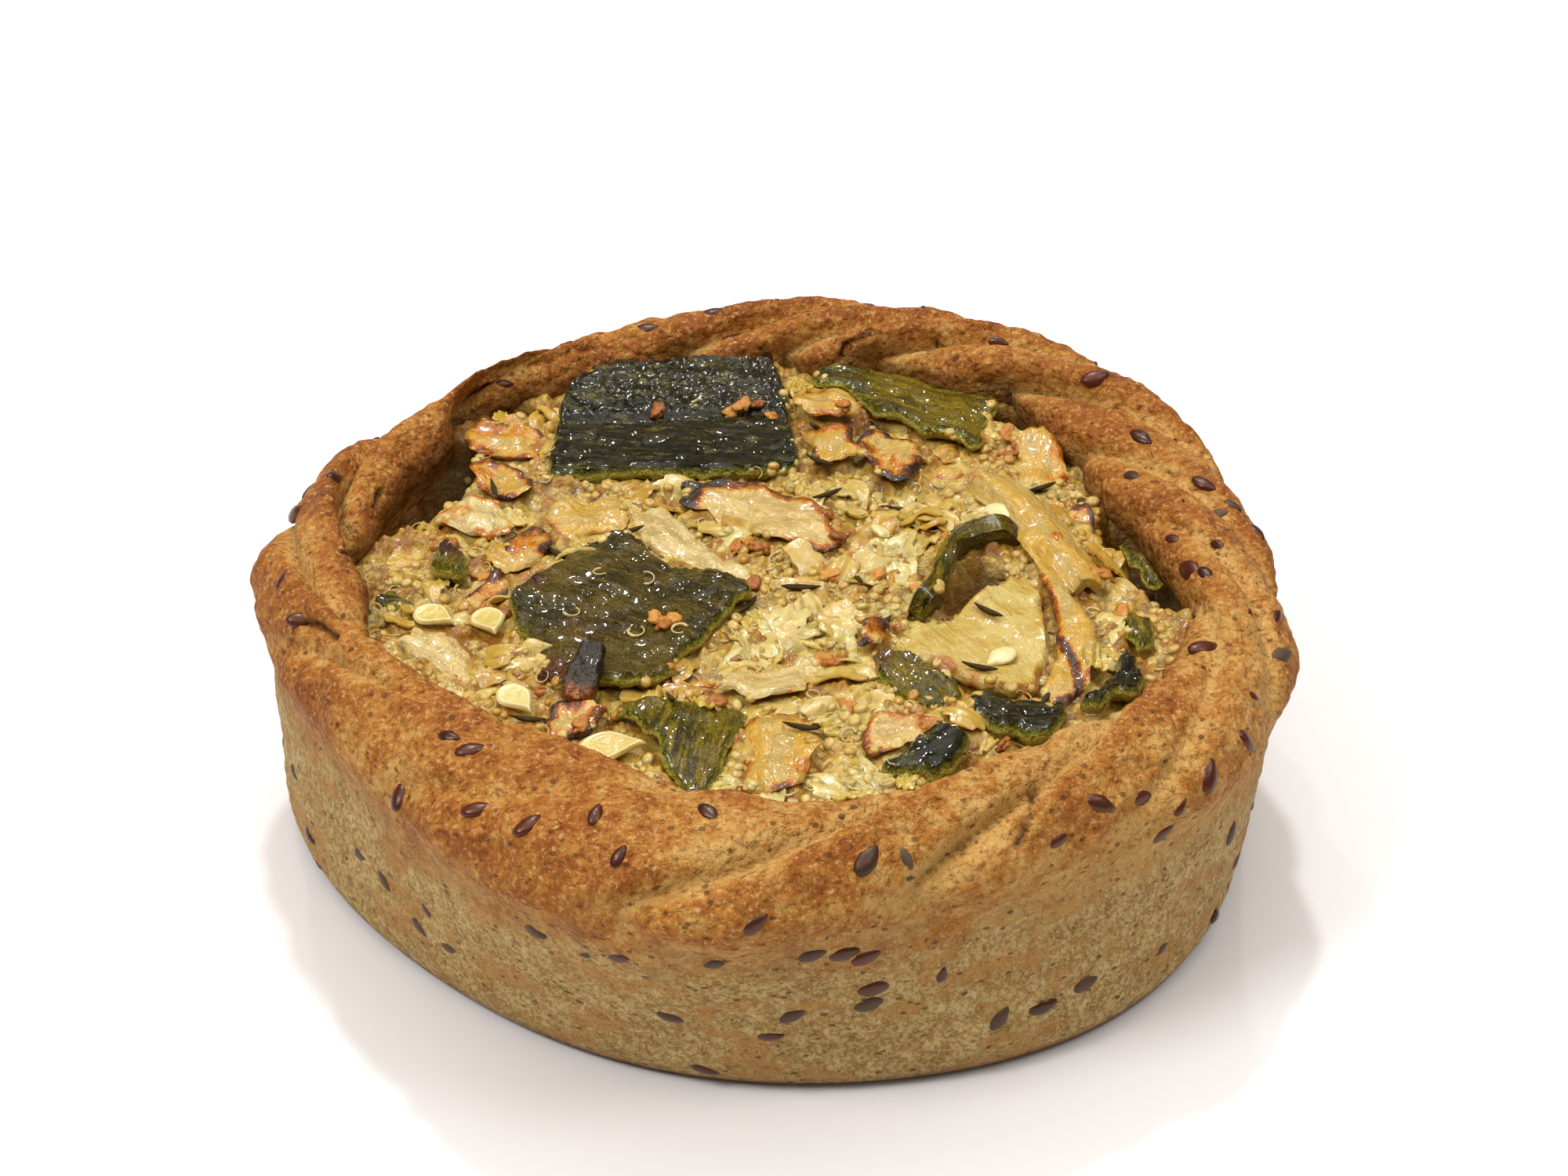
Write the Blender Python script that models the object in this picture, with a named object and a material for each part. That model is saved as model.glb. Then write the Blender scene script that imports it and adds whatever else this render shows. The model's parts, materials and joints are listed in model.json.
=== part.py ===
"""A small round zucchini quinoa tart: a pastry cup with a twisted rope rim and flax seeds baked into it, a
quinoa and onion filling, and the baked pieces of zucchini, onion and zucchini seed that lie on top.

The tart stands on z = 0 with the middle of its outline on the z axis. Azimuths are counted from +X,
anticlockwise seen from above, and -Y is the front.
"""

import math
import random

import bmesh
import bpy
from mathutils import Matrix, Vector
from mathutils.bvhtree import BVHTree

MM = 0.001

# The pastry cup, in metres
BASE_RADIUS = 61.4 * MM
WALL_TOP_RADIUS = 63.3 * MM
WALL_TOP_HEIGHT = 25.0 * MM
ROLL_RADIUS = 57.9 * MM
ROLL_HEIGHT = 31.1 * MM
ROLL_HALF_WIDTH = 7.1 * MM
ROLL_HALF_DEPTH = 7.0 * MM
CREST_SHIFT = -2.2 * MM
INNER_RADIUS = 54.0 * MM
INNER_TOP_HEIGHT = 26.5 * MM
FLOOR_THICKNESS = 4.2 * MM
FLOOR_CORNER = 2.6 * MM
FLOOR_CORNER_HEIGHT = 9.0 * MM
BASE_BEVEL = 3.4 * MM
OUTLINE_STEPS = 112
CUP_SHIFT = Vector((2.34 * MM, 0.32 * MM, 0.0))

# How the hand-made outline leaves a circle: share of the radius for each count of waves, as cosine and sine
BASE_WAVES = {2: (0.006, -0.002), 3: (-0.022, -0.009), 4: (0.008, 0.011), 5: (-0.015, 0.006)}
RIM_WAVES = {2: (-0.021, 0.016), 3: (-0.016, -0.005), 4: (0.014, -0.025), 5: (-0.018, -0.002)}
OPENING_WAVES = {
    1: (-0.046, 0.013), 2: (0.002, -0.044), 3: (-0.015, -0.011), 4: (0, -0.008), 5: (0.002, -0.033),
}
OUTER_FROM_RADIUS = 60.5 * MM
INNER_FROM_RADIUS = 52.0 * MM
INNER_WAVES_LOW_SHARE = 0.5

# The creases between the strands of the rope rim: azimuth at the crest in degrees, and depth in millimetres
CREASES = (
    (162, 4.2), (122, 3.2), (86, 2.4), (71, 2.4), (57, 3.0), (35, 3.2), (13, 1.6), (-9, 1.0),
    (-32, 1.0), (-58, 2.2), (-87, 1.8), (-118, 0.8), (-148, 1.0), (-173, 2.0),
)
CREASE_HALF_WIDTH = 3.2 * MM
STRAND_SLANT = math.radians(19)
STRAND_SWELL = 0.35
STRAND_SWELL_AT = 8.5 * MM
STRAND_SWELL_HALF_WIDTH = 6.0 * MM

# The filling
GAP = 0.5 * MM
LIP_GAP = 1.9 * MM
FILLING_HEIGHT = 31.6 * MM
FILLING_EDGE_FALL = 0.9 * MM
FILLING_CELLS = 24
# Hollows of the filling: middle, half length, half width and depth in millimetres, heading in degrees
HOLLOWS = (
    (-47.5, 21.0, 11.0, 4.4, 9.0, 66),
    (46.8, 2.5, 10.0, 4.0, 7.0, -70),
    (-36.5, 38.5, 3.2, 2.6, 4.5, 40),
    (31.5, 38.5, 4.0, 2.8, 4.5, -50),
    (24.0, -4.0, 5.5, 3.2, 4.0, 50),
)

# Seeds, grains and leaves
SEED_SIZE = Vector((4.3, 2.2, 1.3)) * MM
GRAIN_SIZE = Vector((2.3, 2.2, 1.7)) * MM
SHRED_SIZE = Vector((6.4, 3.0, 2.0)) * MM
THYME_SIZE = Vector((5.6, 1.3, 1.1)) * MM
RIM_SEEDS = 32
WALL_SEEDS = 28
SMALL_BITS = (("shred", SHRED_SIZE, 26), ("thyme", THYME_SIZE, 12), ("grain", GRAIN_SIZE, 44))
GOLDEN_ANGLE = math.radians(137.508)
SMALL_BIT_CLEARANCE = 2.0 * MM
RESTING_REACH = 2.4 * MM

COLOURS = {
    "crust": ((0.52, 0.24, 0.08), 0.62),
    "filling": ((0.66, 0.50, 0.20), 0.42),
    "zucchini_skin": ((0.03, 0.04, 0.012), 0.25),
    "zucchini_olive": ((0.13, 0.13, 0.02), 0.28),
    "zucchini_flesh": ((0.62, 0.53, 0.19), 0.35),
    "onion": ((0.70, 0.55, 0.28), 0.35),
    "onion_browned": ((0.45, 0.19, 0.05), 0.4),
    "zucchini_seed": ((0.80, 0.70, 0.38), 0.35),
    "charred": ((0.02, 0.012, 0.012), 0.4),
}

# Flat pieces on the filling: material, thickness in millimetres, and outline points in millimetres from the
# middle of the tart, anticlockwise or clockwise as they come
SLABS = {
    "zucchini_back_left": ("zucchini_skin", 3.2, (
        (-29, 43), (-21, 50.6), (-12, 52.6), (-4, 52), (-0.5, 46), (1, 34), (1.5, 22.5), (-9, 20),
        (-20, 21), (-30.5, 20.5), (-30.8, 31))),
    "zucchini_back_right": ("zucchini_olive", 3.0, (
        (4, 47.5), (13, 49.5), (20, 48), (29, 42.5), (27, 34), (26, 27.5), (19.5, 31), (13, 37), (8, 42.5))),
    "zucchini_left": ("zucchini_skin", 3.0, (
        (-21, 6), (-13, -0.5), (-4, -7.5), (-7, -12.5), (-12, -20), (-15.5, -26), (-27.5, -26), (-30.5, -18),
        (-33.5, -8), (-28, 0.5))),
    "zucchini_front": ("zucchini_olive", 2.6, (
        (-19, -30.5), (-5, -30.2), (-6.5, -40), (-9, -46), (-12.5, -44.6), (-15.5, -38.5), (-18, -34.5))),
    "zucchini_slice": ("zucchini_flesh", 3.0, (
        (13, -18), (20, -12.5), (27, -5), (29.8, -3), (32, -12), (31.4, -21), (29.3, -27.5), (22.5, -26),
        (16, -21.2))),
    "zucchini_slice_skin_left": ("zucchini_olive", 2.4, (
        (10.8, -22), (13.8, -21.4), (17.6, -24.2), (20.8, -28.6), (13, -28.8))),
    "zucchini_slice_skin_front": ("zucchini_olive", 2.4, (
        (21.6, -28.4), (27.5, -29), (32.6, -32.4), (29.5, -36.4), (24, -33.4))),
    "zucchini_slice_skin_right": ("zucchini_skin", 2.4, (
        (40.6, -19.5), (43.2, -24.5), (40, -29.6), (35, -30.8), (38, -26), (39.4, -22))),
    "zucchini_chunk": ("zucchini_skin", 3.6, (
        (12, -40.4), (18.4, -35.2), (21.4, -38.4), (20.4, -41.4), (17, -44.2), (13.2, -42.6))),
    "zucchini_nub": ("zucchini_olive", 3.4, ((-44, -3), (-43.6, 2), (-41.8, 3.4), (-40.2, 1), (-40.2, -4))),
    "zucchini_edge_left": ("zucchini_olive", 2.2, ((-51, -7.5), (-50, -4.4), (-46.6, -4.6), (-46.4, -8.6))),
    "zucchini_edge_right": ("zucchini_olive", 2.0, ((42.6, 5.4), (45.4, 4.6), (48, -4), (45.4, -4.6))),
    "zucchini_edge_front_right": ("zucchini_olive", 2.2, (
        (41.8, -10.6), (45, -11.6), (45.2, -18), (42.2, -18.4))),
    "onion_burnt_tip": ("onion", 3.2, (
        (-13.5, 14), (-12, 18.4), (-4, 18.2), (1, 15.5), (5, 10.5), (7, 4), (3.5, 2), (-3, 6), (-8.5, 10.5))),
    "onion_clear": ("onion", 2.4, (
        (-20.5, 14.5), (-15, 12), (-9.5, 5.5), (-4.5, -0.5), (-4, -4.4), (-9, -2), (-13.5, 2), (-18.4, 6.6))),
    "onion_left": ("onion", 2.6, (
        (-30.6, 10.4), (-28, 14.6), (-22, 15.8), (-20.4, 11), (-23, 7.6), (-28, 6.4))),
    "onion_left_browned": ("onion_browned", 2.6, (
        (-35, -0.6), (-34.6, 6), (-32.6, 11), (-31.2, 8), (-29.4, 3.4))),
    "onion_charred_arc": ("onion_browned", 3.0, (
        (-40, -8), (-38.6, -4.4), (-36, -2.2), (-34.6, -4.6), (-37.6, -8.6))),
    "onion_sheet_upper": ("onion_browned", 3.4, (
        (-43, 33.5), (-36, 34.4), (-32.4, 29.5), (-33.2, 26), (-41, 27))),
    "onion_sheet_lower": ("onion", 3.0, (
        (-42.4, 25.6), (-37, 24.6), (-33.2, 19), (-35.2, 15.6), (-40, 18))),
    "onion_folded": ("onion", 3.0, (
        (-44.4, 12), (-41, 16.2), (-36.4, 14), (-35.8, 8), (-39, 6), (-42.6, 8))),
    "onion_leaf": ("onion", 2.0, ((-51.6, 2), (-50, 6.4), (-46, 6), (-45.2, 3), (-49, 0.6))),
    "onion_flat": ("onion", 2.4, ((-46.6, -15.6), (-40, -15.4), (-37.4, -18.6), (-37, -23), (-41, -22.4))),
    "onion_crumpled": ("onion", 3.6, (
        (2.2, 43), (6.2, 42.4), (9.6, 38.8), (10.4, 35), (6, 33.8), (2.4, 35))),
    "onion_brown_top": ("onion_browned", 3.4, ((3, 32), (9, 31.6), (9.4, 24.4), (4, 23.4))),
    "onion_ring": ("onion_browned", 3.6, (
        (11, 32), (15.4, 31.4), (18.2, 27), (17, 20.4), (14, 18), (10.6, 21))),
    "onion_crisp": ("onion_browned", 2.8, ((18.9, 21.6), (20, 26.2), (24, 25.6), (25.4, 22), (21.6, 19.6))),
    "onion_right": ("onion", 3.4, (
        (30.6, 19.4), (31, 29), (33.6, 32), (36.6, 30), (37.6, 23), (35.4, 18.4))),
    "onion_right_tip": ("onion_browned", 3.0, ((36.6, 10), (38.2, 16.6), (40.4, 13), (39.8, 7))),
    "onion_brown_edge": ("onion", 3.2, (
        (31.8, -2.6), (34.4, -5.4), (37, -12), (38, -18), (36.4, -25), (33.2, -28.6), (31, -27.4),
        (32.8, -20), (33.2, -12))),
    "onion_caramel": ("onion_browned", 3.2, (
        (8.6, -19.6), (9, -15), (11.8, -12.8), (13.4, -14.6), (11.6, -18.6))),
    "onion_pale": ("onion", 3.0, (
        (-9.4, -27.6), (-4, -23), (3, -20.6), (4, -24), (2.4, -28.2), (-3.6, -28.8))),
    "onion_front_browned": ("onion_browned", 3.6, (
        (-3.8, -31.6), (1.4, -31.2), (3.6, -36), (3, -42), (0.4, -45.4), (-4, -45.4), (-5, -38))),
    "onion_orange_edge": ("onion", 3.0, (
        (9.4, -34), (13, -31.8), (17.8, -33.4), (15.6, -36), (12, -38.6), (10, -38))),
    "onion_charred_front": ("onion_browned", 3.0, (
        (-28, -31), (-22.4, -31), (-20.8, -33), (-23.4, -35.4), (-26.6, -35.6))),
}
# Narrow pieces that stand on the filling: material, width and height in millimetres, and the middle line
STRIPS = {
    "zucchini_curl": ("zucchini_olive", 2.2, 4.6, (
        (15.6, -12), (18.2, -8), (19.4, -3), (21, 2), (24.6, 4.8), (29.6, 6.8))),
    "onion_long": ("onion", 4.4, 3.0, ((26, 19), (30, 13.5), (33.2, 6.5), (35.2, 0), (37.6, -6))),
}
# The charred stick that leans on the left slice of zucchini, from its lower to its upper end
STICK_FOOT = Vector((-24.6, -30.2, 34.2)) * MM
STICK_TOP = Vector((-22.6, -23.2, 37.4)) * MM
STICK_WIDTH = 2.8 * MM
STICK_THICKNESS = 1.6 * MM
# Zucchini seeds that lie flat: middle, length and width in millimetres, heading of the tip in degrees
ZUCCHINI_SEEDS = (
    (-43.0, -11.2, 6.4, 4.2, -40),
    (-36.2, -12.6, 6.6, 4.6, -75),
    (-20.0, -37.8, 7.8, 5.2, 0),
    (-31.6, -28.6, 6.4, 4.2, -60),
)
ZUCCHINI_SEED_THICKNESS = 1.6 * MM


def waves(angle, terms):
    """Share of the radius by which the outline leaves its circle at this azimuth."""
    return sum(a * math.cos(k * angle) + b * math.sin(k * angle) for k, (a, b) in terms.items())


def blend(low, high, share):
    return low + (high - low) * share


def ramp(value, start, end):
    """Smooth step from 0 at start to 1 at end."""
    t = min(max((value - start) / (end - start), 0.0), 1.0)
    return t * t * (3 - 2 * t)


def strand_relief(angle, lean):
    """Height of the rope relief, where lean runs from -1 on the rim's outer side to 1 on its inner side."""
    along = angle - STRAND_SLANT * lean
    relief = 0.0
    for crease_degrees, depth in CREASES:
        turn = (along - math.radians(crease_degrees) + math.pi) % math.tau - math.pi
        distance = turn * ROLL_RADIUS
        relief -= depth * MM * math.exp(-((distance / CREASE_HALF_WIDTH) ** 2))
        swell = math.exp(-(((distance - STRAND_SWELL_AT) / STRAND_SWELL_HALF_WIDTH) ** 2))
        relief += STRAND_SWELL * depth * MM * swell
    return relief


def on_cup(radius, angle, height, relief_share=1.0):
    """Turns a point of the plain turned cup into the point of the uneven, hand-crimped cup."""
    inside = (OUTER_FROM_RADIUS - radius) / (OUTER_FROM_RADIUS - INNER_FROM_RADIUS)
    inside = 0.0 if height < 0.5 * FLOOR_THICKNESS else min(max(inside, 0.0), 1.0)
    outer = blend(waves(angle, BASE_WAVES), waves(angle, RIM_WAVES), ramp(height, 0, ROLL_HEIGHT))
    near_lip = ramp(height, INNER_TOP_HEIGHT - 6 * MM, ROLL_HEIGHT)
    inner = waves(angle, OPENING_WAVES) * blend(INNER_WAVES_LOW_SHARE, 1.0, near_lip)
    new_radius = radius * (1 + blend(outer, inner, inside))
    new_height = height
    out, up = radius - ROLL_RADIUS, height - ROLL_HEIGHT
    on_roll = ramp(height, WALL_TOP_HEIGHT, ROLL_HEIGHT)
    if on_roll > 0:
        lean = max(-1.0, min(1.0, -out / ROLL_HALF_WIDTH))
        relief = strand_relief(angle, lean) * on_roll * relief_share
        length = math.hypot(out, up) or 1.0
        new_radius += relief * out / length
        new_height += relief * up / length
    return Vector((new_radius * math.cos(angle), new_radius * math.sin(angle), new_height))


def filling_edge(angle, height):
    """Radius of the filling's side at this azimuth and height, clear of the cup."""
    if height > INNER_TOP_HEIGHT:
        return on_cup(ROLL_RADIUS - ROLL_HALF_WIDTH, angle, ROLL_HEIGHT, relief_share=0.0).xy.length - LIP_GAP
    low = on_cup(INNER_RADIUS, angle, FLOOR_CORNER_HEIGHT, relief_share=0.0).xy.length
    high = on_cup(INNER_RADIUS, angle, INNER_TOP_HEIGHT, relief_share=0.0).xy.length
    share = max(height - FLOOR_CORNER_HEIGHT, 0.0) / (INNER_TOP_HEIGHT - FLOOR_CORNER_HEIGHT)
    return blend(low, high, share) - GAP - (FLOOR_CORNER if height < FLOOR_CORNER_HEIGHT else 0.0)


def filling_height(x, y):
    """Height of the bare filling under the pieces."""
    reach = math.hypot(x, y) / (ROLL_RADIUS - ROLL_HALF_WIDTH)
    height = FILLING_HEIGHT - FILLING_EDGE_FALL * reach**2
    for middle_x, middle_y, half_length, half_width, depth, heading in HOLLOWS:
        away = Vector((x - middle_x * MM, y - middle_y * MM))
        away.rotate(Matrix.Rotation(-math.radians(heading), 2))
        across = math.hypot(away.x / (half_length * MM), away.y / (half_width * MM))
        height -= depth * MM * (1 - ramp(across, 0.55, 1.35))
    return height


def resting_height(x, y):
    """Height at which a piece lies clear of the filling round this point, however the filling is faceted."""
    reach = RESTING_REACH
    return GAP + max(filling_height(x + dx, y + dy) for dx in (-reach, 0, reach) for dy in (-reach, 0, reach))


def new_material(name):
    colour, roughness = COLOURS[name]
    material = bpy.data.materials.new(name)
    material.use_nodes = True
    shader = material.node_tree.nodes["Principled BSDF"]
    shader.inputs["Base Color"].default_value = (*colour, 1.0)
    shader.inputs["Roughness"].default_value = roughness
    shader.inputs["Metallic"].default_value = 0.0
    return material


def new_object(name, bm, collection, material=None):
    """Closes the bmesh into an object of the collection, with its faces pointing out."""
    bmesh.ops.recalc_face_normals(bm, faces=bm.faces[:])
    mesh = bpy.data.meshes.new(name)
    bm.to_mesh(mesh)
    bm.free()
    mesh.shade_smooth()
    obj = bpy.data.objects.new(name, mesh)
    collection.objects.link(obj)
    if material:
        mesh.materials.append(material)
    return obj


def cup_profile():
    """Radius and height of the points of the turned cup, from the middle of the base to the inner floor."""
    points = [(0.0, 0.0), (BASE_RADIUS - 1.1 * BASE_BEVEL, 0.0)]
    points += [(BASE_RADIUS - 0.25 * BASE_BEVEL, 0.35 * BASE_BEVEL), (BASE_RADIUS, 1.3 * BASE_BEVEL)]
    points += [(blend(BASE_RADIUS, WALL_TOP_RADIUS, 0.5), 0.5 * WALL_TOP_HEIGHT)]
    points += [(WALL_TOP_RADIUS, WALL_TOP_HEIGHT)]
    for degrees in (-22, 2, 26, 50, 72, 96, 120, 146, 172):
        turn = math.radians(degrees)
        across = ROLL_RADIUS + ROLL_HALF_WIDTH * math.cos(turn) + CREST_SHIFT * math.sin(max(turn, 0.0))
        points.append((across, ROLL_HEIGHT + ROLL_HALF_DEPTH * math.sin(turn)))
    points += [(INNER_RADIUS, INNER_TOP_HEIGHT), (INNER_RADIUS, FLOOR_CORNER_HEIGHT)]
    points += [(INNER_RADIUS - FLOOR_CORNER, FLOOR_THICKNESS), (0.0, FLOOR_THICKNESS)]
    return points


def build_cup(collection, material):
    """The pastry cup before its seeds: a turned profile whose points then follow the uneven outline."""
    bm = bmesh.new()
    profile = [bm.verts.new((radius, 0.0, height)) for radius, height in cup_profile()]
    edges = [bm.edges.new(pair) for pair in zip(profile, profile[1:])]
    turned = profile + edges
    bmesh.ops.spin(bm, geom=turned, cent=(0, 0, 0), axis=(0, 0, 1), angle=math.tau, steps=OUTLINE_STEPS)
    bmesh.ops.remove_doubles(bm, verts=bm.verts[:], dist=0.01 * MM)
    for vert in bm.verts:
        if vert.co.xy.length > MM:
            vert.co = on_cup(vert.co.xy.length, math.atan2(vert.co.y, vert.co.x), vert.co.z)
    bmesh.ops.triangulate(bm, faces=bm.faces[:])
    return new_object("crust", bm, collection, material)


def square_to_disc(u, v):
    """Ring, from 0 to 1, and azimuth of the disc point that stands for this point of a square grid."""
    ring = max(abs(u), abs(v))
    if ring < 1e-6:
        return 0.0, 0.0
    if abs(u) >= abs(v):
        return ring, math.pi / 4 * v / u + (0 if u > 0 else math.pi)
    return ring, math.pi / 2 - math.pi / 4 * u / v + (0 if v > 0 else math.pi)


def build_filling(collection, material):
    """The filling before its grains: a grid bent to the opening, its edge run down to the cup's floor."""
    bm = bmesh.new()
    bmesh.ops.create_grid(bm, x_segments=FILLING_CELLS, y_segments=FILLING_CELLS, size=1.0)
    for vert in bm.verts:
        ring, angle = square_to_disc(vert.co.x, vert.co.y)
        radius = ring * filling_edge(angle, FILLING_HEIGHT)
        x, y = radius * math.cos(angle), radius * math.sin(angle)
        vert.co = (x, y, filling_height(x, y))
    border = [edge for edge in bm.edges if edge.is_boundary]
    for height in (INNER_TOP_HEIGHT - 4.5 * MM, FLOOR_CORNER_HEIGHT, FLOOR_THICKNESS + GAP):
        grown = bmesh.ops.extrude_edge_only(bm, edges=border)["geom"]
        border = [item for item in grown if isinstance(item, bmesh.types.BMEdge) and item.is_boundary]
        for vert in {vert for edge in border for vert in edge.verts}:
            angle = math.atan2(vert.co.y, vert.co.x)
            radius = filling_edge(angle, height)
            vert.co = (radius * math.cos(angle), radius * math.sin(angle), height)
    bmesh.ops.holes_fill(bm, edges=border)
    bmesh.ops.triangulate(bm, faces=bm.faces[:])
    return new_object("filling", bm, collection, material)


def within_opening(x, y):
    """The point given in millimetres, drawn in to stay clear of the rim."""
    point = Vector((x, y)) * MM
    most = filling_edge(math.atan2(y, x), FILLING_HEIGHT)
    return point * min(1.0, most / point.length)


def shape_piece(bm, thickness):
    """Gives a flat sheet its thickness, thinner at its edge, and lays it on the filling."""
    rim = {vert for vert in bm.verts if vert.is_boundary}
    tops = [vert.co.xy.copy() for vert in rim]
    grown = bmesh.ops.extrude_face_region(bm, geom=bm.faces[:])["geom"]
    upper = {item for item in grown if isinstance(item, bmesh.types.BMVert)}
    for vert in bm.verts:
        height = resting_height(vert.co.x, vert.co.y)
        if vert in upper:
            at_rim = any((vert.co.xy - top).length < 0.01 * MM for top in tops)
            ripple = 0.25 * math.sin(vert.co.x * 520) * math.cos(vert.co.y * 410)
            height += thickness * (0.6 if at_rim else 1.0 + ripple)
        vert.co.z = height
    bmesh.ops.triangulate(bm, faces=bm.faces[:])


def build_slab(name, outline, thickness, collection, material):
    """A flat piece with this outline: its face gets an inner ring and a middle point, then its thickness."""
    bm = bmesh.new()
    face = bm.faces.new([bm.verts.new((*within_opening(x, y), 0.0)) for x, y in outline])
    middle = face.calc_center_median()
    bmesh.ops.inset_individual(bm, faces=[face], thickness=0.0)
    for vert in face.verts:
        vert.co = vert.co.lerp(middle, 0.4)
    bmesh.ops.poke(bm, faces=[face])
    shape_piece(bm, thickness)
    return new_object(name, bm, collection, material)


def build_strip(name, path, width, thickness, collection, material):
    """A narrow piece that follows a middle line over the filling."""
    bm = bmesh.new()
    line = [Vector((x * MM, y * MM)) for x, y in path]
    rows = []
    for index, point in enumerate(line):
        before, after = line[max(index - 1, 0)], line[min(index + 1, len(line) - 1)]
        side = (after - before).normalized().orthogonal() * width / 2
        end = index in (0, len(line) - 1)
        reach = side * (0.6 if end else 1.0)
        rows.append([bm.verts.new((*(point + reach * way), 0.0)) for way in (-1, 0, 1)])
    for low, high in zip(rows, rows[1:]):
        for left in (0, 1):
            bm.faces.new((low[left], low[left + 1], high[left + 1], high[left]))
    shape_piece(bm, thickness)
    return new_object(name, bm, collection, material)


def build_stick(collection, material):
    """The charred stick: a block between its two ends, narrower at the top."""
    bm = bmesh.new()
    axis = STICK_TOP - STICK_FOOT
    turn = axis.to_track_quat("Z", "Y").to_matrix().to_4x4()
    place = Matrix.Translation((STICK_TOP + STICK_FOOT) / 2) @ turn
    size = Matrix.Diagonal((STICK_WIDTH, STICK_THICKNESS, axis.length, 1.0))
    bmesh.ops.create_cube(bm, size=1.0, matrix=place @ size)
    long_edges = [edge for edge in bm.edges if edge.calc_length() > 0.9 * axis.length]
    bmesh.ops.bevel(bm, geom=long_edges, offset=0.4 * MM, segments=1, affect="EDGES")
    bmesh.ops.triangulate(bm, faces=bm.faces[:])
    return new_object("onion_charred_stick", bm, collection, material)


def build_zucchini_seed(name, seed, collection, material):
    """A flat seed with one pointed end, from a squashed ball."""
    x, y, length, width, heading = seed
    bm = bmesh.new()
    bmesh.ops.create_uvsphere(bm, u_segments=8, v_segments=5, radius=0.5)
    for vert in bm.verts:
        vert.co.y *= 1 - 0.55 * ramp(vert.co.x, 0.05, 0.5)
    height = resting_height(x * MM, y * MM) + 0.5 * ZUCCHINI_SEED_THICKNESS
    place = Matrix.Translation((x * MM, y * MM, height)) @ Matrix.Rotation(math.radians(heading), 4, "Z")
    size = Matrix.Diagonal((length * MM, width * MM, ZUCCHINI_SEED_THICKNESS, 1.0))
    bmesh.ops.transform(bm, matrix=place @ size, verts=bm.verts[:])
    return new_object(name, bm, collection, material)


def bit_mesh(kind, size):
    """Mesh of one small bit: a pointed ball for a seed, a plain ball for a grain, shred or leaf."""
    bm = bmesh.new()
    if kind == "seed":
        bmesh.ops.create_uvsphere(bm, u_segments=6, v_segments=4, radius=0.5)
        for vert in bm.verts:
            vert.co.y *= 1 - 0.45 * ramp(vert.co.x, 0.0, 0.5)
    else:
        bmesh.ops.create_icosphere(bm, subdivisions=1, radius=0.5)
    bmesh.ops.transform(bm, matrix=Matrix.Diagonal((*size, 1.0)), verts=bm.verts[:])
    mesh = bpy.data.meshes.new(kind)
    bm.to_mesh(mesh)
    bm.free()
    return mesh


def lay_bit(mesh, place, normal, spin, collection):
    """Lays one bit on the surface, half sunk, turned by spin about the surface's normal."""
    turn = normal.to_track_quat("Z", "Y").to_matrix().to_4x4()
    obj = bpy.data.objects.new(mesh.name, mesh)
    obj.matrix_world = Matrix.Translation(place) @ turn @ Matrix.Rotation(spin, 4, "Z")
    collection.objects.link(obj)


def surface_of(obj):
    """The object's surface, for finding where a ray meets it."""
    bm = bmesh.new()
    bm.from_mesh(obj.data)
    tree = BVHTree.FromBMesh(bm)
    bm.free()
    return tree


def fuse(obj, bits):
    """Joins a collection of small bits to the object with one Boolean union, and removes the collection."""
    union = obj.modifiers.new("bits", "BOOLEAN")
    union.operation = "UNION"
    union.operand_type = "COLLECTION"
    union.collection = bits
    union.solver = "MANIFOLD"
    graph = bpy.context.evaluated_depsgraph_get()
    joined = bpy.data.meshes.new_from_object(obj.evaluated_get(graph))
    obj.modifiers.clear()
    obj.data = joined
    for bit in list(bits.objects):
        bpy.data.objects.remove(bit)
    bpy.data.collections.remove(bits)


def spread_seeds(crust, bits):
    """Flax seeds all round the rim and the wall, turned by the golden angle so that they spread evenly."""
    draw = random.Random(7)
    surface = surface_of(crust)
    mesh = bit_mesh("seed", SEED_SIZE)
    for index in range(RIM_SEEDS + WALL_SEEDS):
        angle = index * GOLDEN_ANGLE + draw.uniform(-0.1, 0.1)
        outward = Vector((math.cos(angle), math.sin(angle), 0.0))
        if index < RIM_SEEDS:
            lean = math.radians(draw.uniform(5, 115))
            toward = outward * math.cos(lean) + Vector((0, 0, math.sin(lean)))
            start = outward * ROLL_RADIUS + Vector((0, 0, ROLL_HEIGHT)) + toward * 2 * ROLL_HALF_WIDTH
        else:
            toward = outward
            start = outward * 1.3 * ROLL_RADIUS + Vector((0, 0, draw.uniform(0.16, 0.9) * WALL_TOP_HEIGHT))
        place, normal, _, _ = surface.ray_cast(start, -toward)
        lay_bit(mesh, place, normal, draw.uniform(0, math.pi), bits)


def distance_to_outline(point, outline):
    """Distance from a point to a closed outline, or 0 inside it."""
    inside, nearest = False, math.inf
    for start, end in zip(outline, outline[1:] + outline[:1]):
        run = end - start
        share = min(max((point - start).dot(run) / run.length_squared, 0.0), 1.0)
        nearest = min(nearest, (point - start - run * share).length)
        if (start.y > point.y) != (end.y > point.y):
            inside ^= point.x < start.x + (point.y - start.y) / run.y * run.x
    return 0.0 if inside else nearest


def covered_outlines():
    """Outlines of everything that lies on the filling, which the small bits keep clear of."""
    outlines = [[Vector(point) * MM for point in points] for _, _, points in SLABS.values()]
    for _, width, _, path in STRIPS.values():
        line = [Vector(point) * MM for point in path]
        across = Vector((width * MM / 2, 0))
        outlines.append([point + across for point in line] + [point - across for point in reversed(line)])
    for x, y, length, width, _ in ZUCCHINI_SEEDS:
        corners = ((1, 0), (0, 1), (-1, 0), (0, -1))
        outlines.append([Vector((x + length / 2 * a, y + length / 2 * b)) * MM for a, b in corners])
    return outlines


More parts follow.
